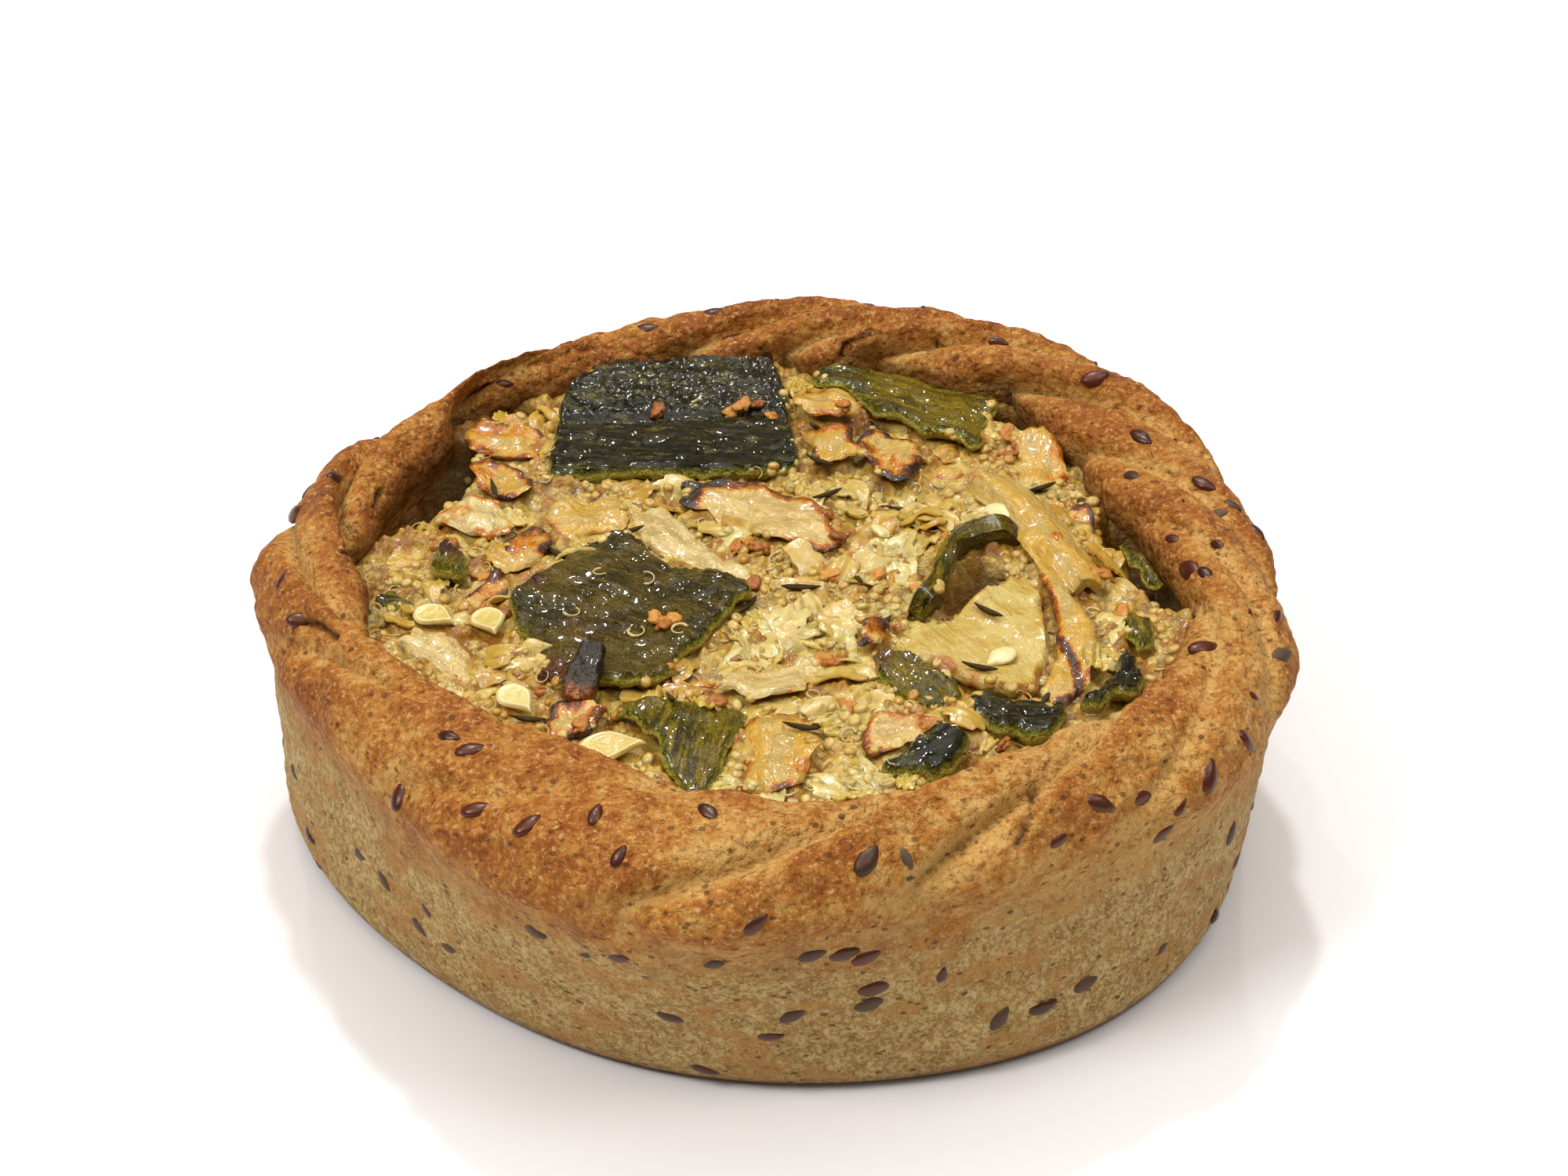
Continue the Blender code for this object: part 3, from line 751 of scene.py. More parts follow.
@dataclass(frozen=True)
class OnionFinish:
    """Translucent onion with fine veins along each piece, browned or charred where each point says so."""

    name: str = "onion"
    coat: float = 0.5
    white: tuple = rgb(210, 188, 128)
    yellow: tuple = rgb(198, 156, 62)
    clear: tuple = rgb(176, 150, 86)
    golden: tuple = rgb(196, 126, 12)
    amber: tuple = rgb(172, 96, 6)
    brown: tuple = rgb(112, 54, 6)
    burgundy: tuple = rgb(60, 26, 6)
    charred: tuple = rgb(20, 14, 11)

    def material(self) -> Material:
        """Builds the material.

        Returns:
            The material.
        """
        sheet = Sheet(self.name)
        lay = sheet.lay()
        veins = sheet.noise(lay, (9.0, 0.7, 3.0), 2.0)
        cloud = sheet.noise(lay, 3.0, 4.0, 0.65)
        tone = sheet.total((sheet.value("tint"), 1.0), (sheet.swing(cloud), 0.9))
        base = sheet.colours(tone, (0.1, self.white), (0.85, self.yellow))
        base = sheet.paint(base, self.clear, sheet.noise(lay, (5.0, 1.6, 3.0), 4.0), 0.44, 0.6, 0.75)
        base = sheet.paint(base, self.golden, veins, 0.52, 0.68, 0.2)
        brown = sheet.value("brown")
        ragged = sheet.times(sheet.swing(sheet.noise(lay, (1.6, 0.8, 1.6), 4.0, 0.65)), 0.9)
        share = sheet.total((brown, 1.0), (ragged, sheet.spread(brown, 0.05, 0.3)))
        cooked = sheet.colours(share, (0.0, self.golden), (0.3, self.golden), (0.44, self.amber),
                               (0.6, self.brown), (0.82, self.burgundy), (1.0, self.charred))
        base = sheet.paint(base, cooked, share, 0.14, 0.36)
        fine = sheet.bump(sheet.noise(lay, 0.7, 2.0), 0.2)
        normal = sheet.bump(veins, 0.14, sheet.bump(cloud, 0.9, fine))
        return sheet.finish(base, sheet.spread(brown, 0.3, 0.9, 0.2, 0.45), normal, Coat_Weight=self.coat,
                            Coat_Roughness=0.06, Specular_Tint=(1.0, 0.88, 0.72, 1.0),
                            **glow(0.3, 0.4, 0.35, 0.25))


@dataclass(frozen=True)
class SkinFinish:
    """Wet zucchini skin with streaks along the piece, its cut flesh at the sides, and a pale starchy film."""

    name: str
    dark: tuple
    light: tuple
    streak: tuple
    film: tuple
    film_from: float
    pimple: float
    flesh: tuple = rgb(164, 150, 58)
    rind: tuple = rgb(92, 94, 20)
    browned: tuple = rgb(92, 54, 24)
    burnt: tuple = rgb(22, 14, 14)
    gleam: tuple = (1.0, 0.86, 0.5, 1.0)

    def material(self) -> Material:
        """Builds the material.

        Returns:
            The material.
        """
        sheet = Sheet(self.name)
        lay, flesh, brown = sheet.lay(), sheet.value("flesh"), sheet.value("brown")
        streaks = sheet.noise(lay, (7.0, 0.8, 3.0))
        base = sheet.paint(self.dark, self.light, sheet.noise(lay, 6.0, 4.0), 0.38, 0.66)
        base = sheet.paint(base, self.streak, streaks, 0.48, 0.66, 0.8)
        film = sheet.noise(lay, (4.0, 1.6, 3.0), 5.0, 0.7)
        film_share = sheet.times(sheet.spread(film, self.film_from, self.film_from + 0.14), 0.65)
        base = sheet.mix(film_share, base, self.film)
        base = sheet.paint(base, self.rind, flesh, 0.05, 0.4)
        base = sheet.paint(base, self.flesh, flesh, 0.35, 0.7)
        base = sheet.paint(base, self.browned, brown, 0.1, 0.6)
        base = sheet.paint(base, self.burnt, brown, 0.55, 0.95)
        pimples = sheet.bump(sheet.noise(lay, (self.pimple, 0.7 * self.pimple, self.pimple)), 1.7)
        fine = sheet.bump(sheet.noise(lay, 0.6, 2.0), 0.5, pimples)
        return sheet.finish(base, sheet.spread(film, 0.5, 0.75, 0.16, 0.4), sheet.bump(streaks, 0.35, fine),
                            Coat_Weight=0.6, Coat_Roughness=0.05, Specular_IOR_Level=0.3,
                            Specular_Tint=self.gleam)


@dataclass(frozen=True)
class FleshFinish:
    """Cut zucchini flesh: pale yellow, fibrous, with golden and brown touches from the oven."""

    pale: tuple = rgb(206, 182, 104)
    yellow: tuple = rgb(188, 156, 58)
    golden: tuple = rgb(172, 104, 30)
    burnt: tuple = rgb(70, 32, 16)

    def material(self) -> Material:
        """Builds the material.

        Returns:
            The material.
        """
        sheet = Sheet("zucchini_flesh")
        lay = sheet.lay()
        fibres = sheet.noise(lay, (5.0, 1.0, 3.0))
        brown = sheet.total((sheet.value("brown"), 1.0), (sheet.swing(fibres), 0.5))
        base = sheet.paint(self.pale, self.yellow, sheet.noise(lay, 5.0, 4.0), 0.4, 0.62)
        base = sheet.paint(base, self.golden, fibres, 0.56, 0.74, 0.5)
        base = sheet.paint(base, self.golden, brown, 0.15, 0.5)
        base = sheet.paint(base, self.burnt, brown, 0.5, 0.9)
        normal = sheet.bump(fibres, 0.5, sheet.bump(sheet.noise(lay, 0.6, rough=0.65), 0.35))
        return sheet.finish(base, 0.32, normal, Coat_Weight=0.2, Coat_Roughness=0.12,
                            **glow(0.2, 2.4, 1.8, 0.8))


class Kind(Enum):
    """What a piece on the filling is made of: its material slot in the record, and its finish."""

    SKIN_BLACK = ("zucchini_skin", "skin_black")
    SKIN_BROWN = ("zucchini_skin", "skin_brown")
    SKIN_OLIVE = ("zucchini_olive", "skin_olive")
    FLESH = ("zucchini_flesh", "flesh")
    ONION = ("onion", "onion")
    ONION_BROWNED = ("onion_browned", "onion")

    def __init__(self, slot: str, finish: str) -> None:
        """Keeps both names, and whether the piece shows zucchini skin or is onion."""
        self.slot, self.finish = slot, finish
        self.is_skin, self.is_onion = finish.startswith("skin"), finish == "onion"


def all_finishes() -> Wardrobe:
    """Makes every finish of the tart once, and returns the materials by name.

    Returns:
        The materials by name.
    """
    quinoa = ((0.0, 206, 180, 104), (0.55, 188, 146, 54), (0.8, 176, 110, 28), (1.0, 136, 62, 12))
    shred = ((0.0, 216, 192, 122), (0.45, 196, 158, 66), (0.9, 168, 110, 30))
    yellow = ((0.0, 204, 176, 84), (0.6, 184, 146, 42), (1.0, 160, 110, 26))
    germ = ((0.0, 206, 184, 124), (1.0, 176, 134, 60))
    crisp = ((0.0, 208, 146, 52), (0.5, 178, 104, 26), (1.0, 92, 46, 12))
    thyme = ((0.0, 52, 44, 22), (0.6, 76, 62, 32), (1.0, 38, 28, 16))
    hull = ((0.0, 232, 218, 160), (0.5, 208, 184, 98), (1.0, 186, 140, 46))
    finishes = {
        "pastry": PastryFinish(), "flax": FlaxFinish(), "mash": MashFinish(), "onion": OnionFinish(),
        "char": OnionFinish("charred_onion", coat=0.12), "flesh": FleshFinish(),
        "skin_black": SkinFinish("skin_black", rgb(10, 10, 3), rgb(34, 32, 7), rgb(58, 52, 15),
                                 rgb(120, 112, 50), film_from=0.52, pimple=0.95),
        "skin_brown": SkinFinish("skin_brown", rgb(46, 39, 8), rgb(88, 72, 18), rgb(104, 82, 22),
                                 rgb(124, 110, 64), film_from=0.62, pimple=1.7),
        "skin_olive": SkinFinish("skin_olive", rgb(54, 49, 4), rgb(110, 92, 6), rgb(138, 116, 12),
                                 rgb(140, 122, 40), film_from=0.66, pimple=1.9),
        "quinoa": BitFinish("quinoa", quinoa, coat=0.3, bump_depth=0.15, glow=0.4),
        "shred": BitFinish("onion_shred", shred, roughness=0.24, bump_size=0.9, bump_depth=0.2, glow=0.5),
        "yellow": BitFinish("zucchini_shred", yellow, roughness=0.24, bump_depth=0.2, glow=0.4),
        "germ": BitFinish("quinoa_germ", germ, coat=0.1),
        "crisp": BitFinish("crisp_bit", crisp, roughness=0.5, coat=0.1, glow=0.0, bump_depth=0.4),
        "thyme": BitFinish("thyme", thyme, roughness=0.85, coat=0.0, glow=0.0, shine=0.12),
        "hull": BitFinish("zucchini_seed", hull, roughness=0.28, coat=0.4, bump_size=1.1),
    }
    return {name: finish.material() for name, finish in finishes.items()}


def dress(obj: Object, name: str, material: Material, slot: str,
          nodes: Sequence[str] = (), crisp_degrees: float = 0.0) -> Object:
    """Finishes one piece: name, shading, material, place in the frame and what it stands for.

    Args:
        obj: The piece, still shaped round the middle of the pastry.
        name: Its name.
        material: Its finish.
        slot: The record's material slot; not used.
        nodes: The frame's nodes that it replaces.
        crisp_degrees: Edges sharper than this stay crisp, unless it is 0.

    Returns:
        The same object.
    """
    obj.name = obj.data.name = name
    obj.data.materials.clear()
    obj.data.materials.append(material)
    pick(obj)
    if crisp_degrees:
        bpy.ops.object.shade_smooth_by_angle(angle=math.radians(crisp_degrees))
    else:
        bpy.ops.object.shade_smooth()
    obj.data.transform(Matrix.Translation(CUP_SHIFT))
    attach(obj, "root")
    if nodes:
        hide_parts(*nodes)
    LOG.info("%s: %d faces", name, len(obj.data.polygons))
    return obj


@dataclass
class Studio:
    """The camera, the pale floor and the soft lights."""

    lens: float = 68.4
    sensor: float = 36.0
    picture: tuple[int, int] = (2000, 1500)
    eye: Vector = field(default_factory=lambda: Vector((0.0, -313.3, 241.9)) * MM)
    down_degrees: float = 34.08
    floor_size: float = 6.0
    # The rise of the direction and the strength of the white surroundings, each from low to high
    sky: tuple[float, ...] = (0.60, 1.0, 0.10, 1.75)
    # Place, size and power
    lights: dict = field(default_factory=lambda: {
        "back": ((-0.10, 0.80, 1.55), 0.12, 9.0),
        "glint_left": ((-0.38, 1.12, 1.22), 0.05, 1.6),
        "glint_right": ((0.30, 1.18, 1.08), 0.05, 1.6),
        "front_left": ((-1.10, -0.55, 1.50), 0.60, 15.5),
        "front_right": ((1.00, -0.25, 1.45), 0.55, 5.2)})

    def ray(self, across: float, down: float) -> tuple[Vector, Vector]:
        """The eye and the way it looks through a pixel of the picture, round the middle of the pastry.

        Args:
            across: Pixels from the picture's left side.
            down: Pixels from the picture's top.

        Returns:
            The eye's place, and the way as a vector of length 1.
        """
        pitch = math.radians(self.down_degrees)
        forward = Vector((0, math.cos(pitch), -math.sin(pitch)))
        up = Vector((0, math.sin(pitch), math.cos(pitch)))
        reach = self.lens / self.sensor * self.picture[0]
        way = forward + Vector((1, 0, 0)) * (across - self.picture[0] / 2) / reach
        way += up * (self.picture[1] / 2 - down) / reach
        return self.eye, way.normalized()

    def build(self) -> None:
        """Builds the camera, the floor, the lights and the white surroundings."""
        camera = bpy.data.objects.new("camera", bpy.data.cameras.new("camera"))
        camera.data.lens, camera.data.sensor_width = self.lens, self.sensor
        camera.location = self.eye + CUP_SHIFT
        camera.rotation_euler = (math.radians(90 - self.down_degrees), 0, 0)
        bpy.context.scene.collection.objects.link(camera)
        bpy.context.scene.camera = camera
        bpy.context.scene.view_settings.view_transform = "Standard"
        floor, _ = started(bpy.ops.mesh.primitive_plane_add, size=self.floor_size)
        floor.name = "floor"
        floor.data.materials.append(Sheet("floor").finish(rgb(244, 243, 245), 0.6))
        world = bpy.data.worlds.new("surroundings")
        world.use_nodes = True
        tree = world.node_tree
        direction = tree.nodes.new("ShaderNodeTexCoord")
        parts = tree.nodes.new("ShaderNodeSeparateXYZ")
        rise = tree.nodes.new("ShaderNodeMapRange")
        rise.interpolation_type = "SMOOTHSTEP"
        tree.links.new(direction.outputs["Generated"], parts.inputs[0])
        tree.links.new(parts.outputs["Z"], rise.inputs[0])
        for socket, amount in zip(list(rise.inputs)[1:5], self.sky):
            socket.default_value = amount
        background = tree.nodes["Background"]
        background.inputs["Color"].default_value = rgb(255, 250, 242)
        tree.links.new(rise.outputs[0], background.inputs["Strength"])
        bpy.context.scene.world = world
        for name, (place, size, power) in self.lights.items():
            self.light(name, Vector(place), size, power)

    def light(self, name: str, place: Vector, size: float, power: float) -> None:
        """Adds one round soft light that faces the tart.

        Args:
            name: The light's name.
            place: Where it stands.
            size: Its width, in metres.
            power: Its power, in watts.
        """
        data = bpy.data.lights.new(name, "AREA")
        data.shape, data.size, data.energy = "DISK", size, power
        lamp = bpy.data.objects.new(name, data)
        lamp.location, lamp.rotation_euler = place, (-place).to_track_quat("-Z", "Y").to_euler()
        bpy.context.scene.collection.objects.link(lamp)


@dataclass
class Crust:
    """The pastry cup: a turned profile carried over to the uneven, hand-crimped outline."""

    base_radius: float = 61.4 * MM
    wall_top_radius: float = 63.3 * MM
    wall_top: float = 25.0 * MM
    roll_radius: float = 57.9 * MM
    roll_height: float = 31.1 * MM
    half_width: float = 7.1 * MM
    half_depth: float = 7.0 * MM
    crest_shift: float = -2.2 * MM
    inner_radius: float = 54.0 * MM
    inner_top: float = 26.5 * MM
    floor_thickness: float = 4.2 * MM
    corner: float = 2.6 * MM
    corner_height: float = 9.0 * MM
    bevel: float = 3.4 * MM
    bevel_steps: tuple = ((1.1, 0), (0.62, 0.1), (0.25, 0.35), (0.05, 0.8))
    outer_from: float = 60.5 * MM
    inner_from: float = 52.0 * MM
    waves_low_share: float = 0.5
    base_waves: dict = field(default_factory=lambda: {
        2: (0.006, -0.002), 3: (-0.022, -0.009), 4: (0.008, 0.011), 5: (-0.015, 0.006)})
    rim_waves: dict = field(default_factory=lambda: {
        2: (-0.021, 0.016), 3: (-0.016, -0.005), 4: (0.014, -0.025), 5: (-0.018, -0.002)})
    opening_waves: dict = field(default_factory=lambda: {
        1: (-0.046, 0.013), 2: (0.002, -0.044), 3: (-0.015, -0.011), 4: (0, -0.008), 5: (0.002, -0.033)})
    creases: tuple = (
        (162, 4.2), (122, 3.2), (86, 2.4), (71, 2.4), (57, 3.0), (35, 3.2), (13, 1.6), (-9, 1.0),
        (-32, 1.0), (-58, 2.2), (-87, 1.8), (-118, 0.8), (-148, 1.0), (-173, 2.0))
    crease_half_width: float = 3.2 * MM
    cleft_half_width: float = 0.75 * MM
    cleft_depth: float = 0.72 * MM
    full_crease: float = 3.2
    slant: float = math.radians(19)
    swell: float = 0.35
    swell_at: float = 8.5 * MM
    swell_half_width: float = 6.0 * MM
    turns: int = 760
    wall_rows: int = 46
    roll_rows: int = 54
    cracks: tuple = (
        ((1111, 423), (1078, 440), (1074, 456)), ((1196, 436), (1180, 452)), ((1195, 443), (1217, 457)),
        ((1319, 1012), (1308, 1046), (1299, 1078)), ((385, 792), (404, 796), (428, 812)),
        ((1520, 788), (1493, 806), (1478, 836), (1476, 866)), ((486, 628), (480, 648)))
    # Depth and size in millimetres, seed, layers, and share of the depth on the wall
    unevenness: tuple = ((0.45, 6.5, 1, 3, 0.45), (0.24, 2.1, 5, 2, 0.6), (0.13, 1.0, 9, 1, 1.0))
    pale_side: float = math.radians(-52)
    pale_span: float = math.radians(26)
    pale_by: float = 1.0
    crack_half_width: float = 0.45 * MM
    crack_depth: float = 1.1 * MM

    def waves(self, angle: Points, terms: dict) -> Points:
        """Share of the radius by which the outline leaves its circle at this azimuth."""
        return sum(a * np.cos(k * angle) + b * np.sin(k * angle) for k, (a, b) in terms.items())

    def strands(self, angle: Points, lean: Points) -> tuple[Points, Points]:
        """The rope's relief, and how near the bottom of a crease each point is.

        Args:
            angle: Azimuths.
            lean: From -1 on the rim's outer side to 1 on its inner side.

        Returns:
            The height of the relief in metres, and a share from 0 to 1.
        """
        along = angle - self.slant * lean
        relief, cleft = np.zeros(len(angle)), np.zeros(len(angle))
        for degrees, depth in self.creases:
            turn = (along - math.radians(degrees) + math.pi) % math.tau - math.pi
            distance = turn * self.roll_radius
            relief -= depth * MM * hump(distance, self.crease_half_width)
            relief += self.swell * depth * MM * hump(distance - self.swell_at, self.swell_half_width)
            near = np.exp(-np.abs(distance / self.cleft_half_width)) * min(depth / self.full_crease, 1.0)
            relief -= self.cleft_depth * near * min(depth / self.full_crease, 1.0)
            cleft = np.maximum(cleft, near)
        return relief, cleft

    def carried(self, radius: Points, angle: Points, height: Points, share: float = 1.0) -> tuple:
        """Carries points of the plain turned cup to the uneven, hand-crimped one.

        Args:
            radius: Radii on the turned cup.
            angle: Azimuths.
            height: Heights on the turned cup.
            share: How much of the rope relief is used.

        Returns:
            New radii, new heights, the relief and the nearness to a crease.
        """
        inside = np.clip((self.outer_from - radius) / (self.outer_from - self.inner_from), 0, 1)
        inside = np.where(height < 0.5 * self.floor_thickness, 0, inside)
        outer = blend(self.waves(angle, self.base_waves), self.waves(angle, self.rim_waves),
                      ramp(height, 0, self.roll_height))
        near_lip = ramp(height, self.inner_top - 6 * MM, self.roll_height)
        inner = self.waves(angle, self.opening_waves) * blend(self.waves_low_share, 1.0, near_lip)
        new_radius = radius * (1 + blend(outer, inner, inside))
        out, up = radius - self.roll_radius, height - self.roll_height
        lean = np.clip(-out / self.half_width, -1, 1)
        relief, cleft = self.strands(angle, lean)
        on_roll = ramp(height, self.wall_top, self.roll_height)
        relief = relief * on_roll * share
        length = np.maximum(np.hypot(out, up), 0.01 * MM)
        return new_radius + relief * out / length, height + relief * up / length, relief, cleft * on_roll

    def lip_radius(self, angle: Points) -> Points:
        """Radius of the opening at this azimuth, before the rope relief.

        Args:
            angle: Azimuths.

        Returns:
            Radii in metres.
        """
        ones = np.ones(len(angle))
        lip = ones * (self.roll_radius - self.half_width)
        return self.carried(lip, angle, ones * self.roll_height, share=0.0)[0]

    def profile(self) -> list[tuple[float, float]]:
        """Radius and height of the turned cup's points, from the middle of the base to the inner floor.

        Returns:
            Pairs of radius and height, in metres.
        """
        points = [(0.0, 0.0), (0.5 * self.base_radius, 0.0)]
        for inward, up in self.bevel_steps:
            points.append((self.base_radius - inward * self.bevel, up * self.bevel))
        for height in np.linspace(1.3 * self.bevel, self.wall_top, self.wall_rows):
            points.append((blend(self.base_radius, self.wall_top_radius, height / self.wall_top), height))
        for degrees in np.linspace(-22, 172, self.roll_rows):
            turn = math.radians(degrees)
            across = self.roll_radius + self.half_width * math.cos(turn)
            across += self.crest_shift * math.sin(max(turn, 0.0))
            points.append((across, self.roll_height + self.half_depth * math.sin(turn)))
        heights = (self.inner_top, 0.5 * self.inner_top, self.corner_height)
        points += [(self.inner_radius, height) for height in heights]
        points += [(across, self.floor_thickness) for across in (self.inner_radius - self.corner, 0.0)]
        return points

    def turn(self) -> Object:
        """Extrudes the profile from one point and spins it once round the z axis.

        Returns:
            The turned cup.
        """
        profile = self.profile()
        obj, _ = started(bpy.ops.mesh.primitive_plane_add, size=MM)
        with editing(obj):
            bpy.ops.mesh.merge(type="CENTER")
            for (radius, height), (next_radius, next_height) in zip(profile, profile[1:]):
                step = (next_radius - radius, 0.0, next_height - height)
                bpy.ops.mesh.extrude_region_move(TRANSFORM_OT_translate={"value": step})
            bpy.ops.mesh.select_all(action="SELECT")
            bpy.ops.mesh.spin(steps=self.turns, angle=math.tau, center=(0, 0, 0), axis=(0, 0, 1))
        right_way_out(obj)
        return obj

    def shape(self, obj: Object) -> None:
        """Carries the turned cup to the crimped one, and gives it the dough's own unevenness.

        Args:
            obj: The turned cup.
        """
        places = points_of(obj)
        radius, angle = np.hypot(places[:, 0], places[:, 1]), np.arctan2(places[:, 1], places[:, 0])
        height = places[:, 2]
        new_radius, new_height, relief, cleft = self.carried(radius, angle, height)
        keep = radius < MM
        new_radius, new_height = np.where(keep, radius, new_radius), np.where(keep, height, new_height)
        moved = columns(new_radius * np.cos(angle), new_radius * np.sin(angle), new_height)
        outside = ramp(height, 1.0 * MM, 4.0 * MM) * ramp(radius, 45 * MM, 50 * MM)
        rim = ramp(height, 24 * MM, 30 * MM)
        rough = sum(depth * MM * layered_noise(moved, size * MM, seed, layers) * blend(on_wall, 1.0, rim)
                    for depth, size, seed, layers, on_wall in self.unevenness)
        lean = np.clip((radius - self.roll_radius) / self.half_width, -1, 1)
        normal = columns(np.cos(angle) * lean, np.sin(angle) * lean, np.sqrt(1 - lean**2) * rim)
        normal /= np.maximum(np.linalg.norm(normal, axis=1), 0.01)[:, None]
        moved += normal * (rough * outside)[:, None]
        moved[:, 2] = np.maximum(moved[:, 2], 0.0)
        move_points(obj, moved)
        paler = self.pale_by * hump(angle - self.pale_side, self.pale_span)
        give_values(obj, "crest", np.clip(relief / (1.2 * MM), -1.5, 1.0) - paler)
        on_inner_side = ramp(self.roll_radius - radius, 3.4 * MM, 7.0 * MM)
        give_values(obj, "moist", on_inner_side * ramp(-height, -36.5 * MM, -32.0 * MM))
        # Nearness to the bottom of a crease, kept for the shade painted there
        self.cleft = cleft * ramp(radius, 48 * MM, 50 * MM)

    def crack(self, obj: Object, studio: Studio) -> None:
        """Opens the cracks that show in the picture, and paints shade into them and into the bottoms of the
        creases.

        Args:
            obj: The crimped cup.
            studio: The camera whose pixels say where the cracks are.
        """
        surface = surface_of(obj)
        places = points_of(obj)
        depth = np.zeros(len(places))
        for pixels in self.cracks:
            hits = [surface.ray_cast(*studio.ray(*pixel))[0] for pixel in pixels]
            hits = [np.array(hit) for hit in hits if hit]
            for start, end in zip(hits, hits[1:]):
                run = end - start
                share = np.clip((places - start) @ run / (run @ run), 0, 1)
                gap = np.linalg.norm(places - start - share[:, None] * run, axis=1)
                depth = np.maximum(depth, hump(gap, self.crack_half_width))
        move_points(obj, places - points_of(obj, "normal") * (depth * self.crack_depth)[:, None])
        # How much shade is painted at each point: in the cracks, and at the bottoms of the creases
        give_values(obj, "crack", np.clip(depth + 0.6 * self.cleft**2, 0, 1))

    def build(self, wardrobe: Wardrobe, studio: Studio) -> Object:
        """Builds the dressed pastry.

        Args:
            wardrobe: The materials by name.
            studio: The camera whose pixels say where the cracks are.

        Returns:
            The pastry.
        """
        obj = self.turn()
        self.shape(obj)
        self.crack(obj, studio)
        self.surface = surface_of(obj)
        return dress(obj, "pastry_crust", wardrobe["pastry"], "crust", ["crust"])


class Bit:
    """One small shape that is modelled once and then laid many times. Its sizes are in millimetres."""

    def __init__(self, obj: Object, size: Sequence[float]) -> None:
        """Keeps the shape of this object at this size, and removes the object.

        Args:
            obj: The modelled shape.
            size: Its length, width and height.
        """
        places = points_of(obj)
        span = places.max(axis=0) - places.min(axis=0)
        middle = (places.max(axis=0) + places.min(axis=0)) / 2
        self.places = (places - middle) / np.maximum(span, 1e-9) * np.array(size) * MM
        self.faces = [tuple(polygon.vertices) for polygon in obj.data.polygons]
        bpy.data.objects.remove(obj)

    @classmethod
    def ball(cls, size: Sequence[float], segments: int = 10, rings: int = 6, point: float = 0.0,
             dent: float = 0.0, bend: float = 0.0) -> "Bit":
        """A ball, drawn to a point at its +X end, dented in its top and bent along its length.

        Args:
            size: Length, width and thickness.
            segments: Sides round the ball.
            rings: Rings from pole to pole.
            point: How far the +X end is narrowed, from 0 to 1.
            dent: Depth of the dent in the top, as a share of the thickness.
            bend: Rise of the ends, as a share of the thickness.

        Returns:
            The bit.
        """
        obj, places = started(bpy.ops.mesh.primitive_uv_sphere_add, segments=segments, ring_count=rings,
                              radius=1.0)
        x, y, z = places.T
        places[:, 1] *= 1 - point * ramp(x, -0.1, 1.0)
        places[:, 2] = np.where(z > 0, z - dent * np.exp(-((x**2 + y**2) / 0.25)), z) + bend * x**2
        move_points(obj, places)
        return cls(obj, size)

    @classmethod
    def curl(cls, radius: float, thickness: float, degrees: float, sides: int = 6, steps: int = 12) -> "Bit":
        """A thin round thread that follows a circle over this many degrees, thinner at its ends.

        Args:
            radius: The circle's radius.
            thickness: The thread's thickness.
            degrees: How far round the thread goes.
            sides: Sides round the thread.
            steps: Steps along the thread.

        Returns:
            The bit.
        """
        obj, _ = started(bpy.ops.mesh.primitive_circle_add, vertices=sides, radius=thickness / 2,
                         fill_type="NGON", location=(radius, 0, 0), rotation=(math.pi / 2, 0, 0))
        bpy.ops.object.transform_apply(location=True, rotation=True, scale=True)
        with editing(obj):
            bpy.ops.mesh.spin(steps=steps, angle=math.radians(degrees), center=(0, 0, 0), axis=(0, 0, 1))
        right_way_out(obj)
        places = points_of(obj)
        angle = np.arctan2(places[:, 1], places[:, 0]) % math.tau
        share = angle / math.radians(degrees)
        taper = 1 - 0.5 * ramp(np.abs(share - 0.5), 0.2, 0.5)
        on_line = columns(radius * np.cos(angle), radius * np.sin(angle), 0.25 * radius * share)
        shifted = places + columns(0 * share, 0 * share, 0.25 * radius * share)
        places = on_line + (shifted - on_line) * taper[:, None]
        move_points(obj, places)
        return cls(obj, places.max(axis=0) - places.min(axis=0))

    @classmethod
    def flake(cls, size: Sequence[float], seed: int, ridges: float = 3.0, bend: float = 0.3) -> "Bit":
        """A thin ragged flake with ridges along it.

        Args:
            size: Length, width and whole height.
            seed: Gives another flake.
            ridges: Ridges from side to side.
            bend: How far the flake arches.

        Returns:
            The bit.
        """
        obj, places = started(bpy.ops.mesh.primitive_grid_add, x_subdivisions=11, y_subdivisions=8, size=2.0)
        u, v = places[:, 0], places[:, 1]
        flat = columns(u * np.sqrt(1 - v**2 / 2), v * np.sqrt(1 - u**2 / 2))
        ring = np.maximum(np.abs(u), np.abs(v))
        angle = np.arctan2(flat[:, 1], flat[:, 0])
        round_place = columns(np.cos(angle), np.sin(angle)) + 3.7 * seed
        ragged = 0.38 * smooth_noise(round_place, 0.9, seed) + 0.2 * smooth_noise(round_place, 0.33, seed)
        flat *= (1 + ring * ragged)[:, None]
        wave = np.sin(ridges * math.pi * flat[:, 1] + 1.2 * smooth_noise(flat + seed, 0.9, seed))
        rise = -bend * flat[:, 0] ** 2 + 0.09 * wave + 0.2 * smooth_noise(flat + seed, 0.6, seed + 2)
        move_points(obj, np.hstack([flat, rise[:, None]]))
        apply_modifier(obj, "SOLIDIFY", thickness=0.14, offset=0.0)
        return cls(obj, size)

    @classmethod
    def crumb(cls, size: Sequence[float], seed: int) -> "Bit":
        """A small rough lump.

        Args:
            size: Length, width and height.
            seed: Gives another lump.

        Returns:
            The bit.
        """
        obj, places = started(bpy.ops.mesh.primitive_ico_sphere_add, subdivisions=3, radius=1.0)
        places *= (1 + 0.55 * layered_noise(places + 2.3 * seed, 0.7, seed, 2))[:, None]
        move_points(obj, places)
        return cls(obj, size)


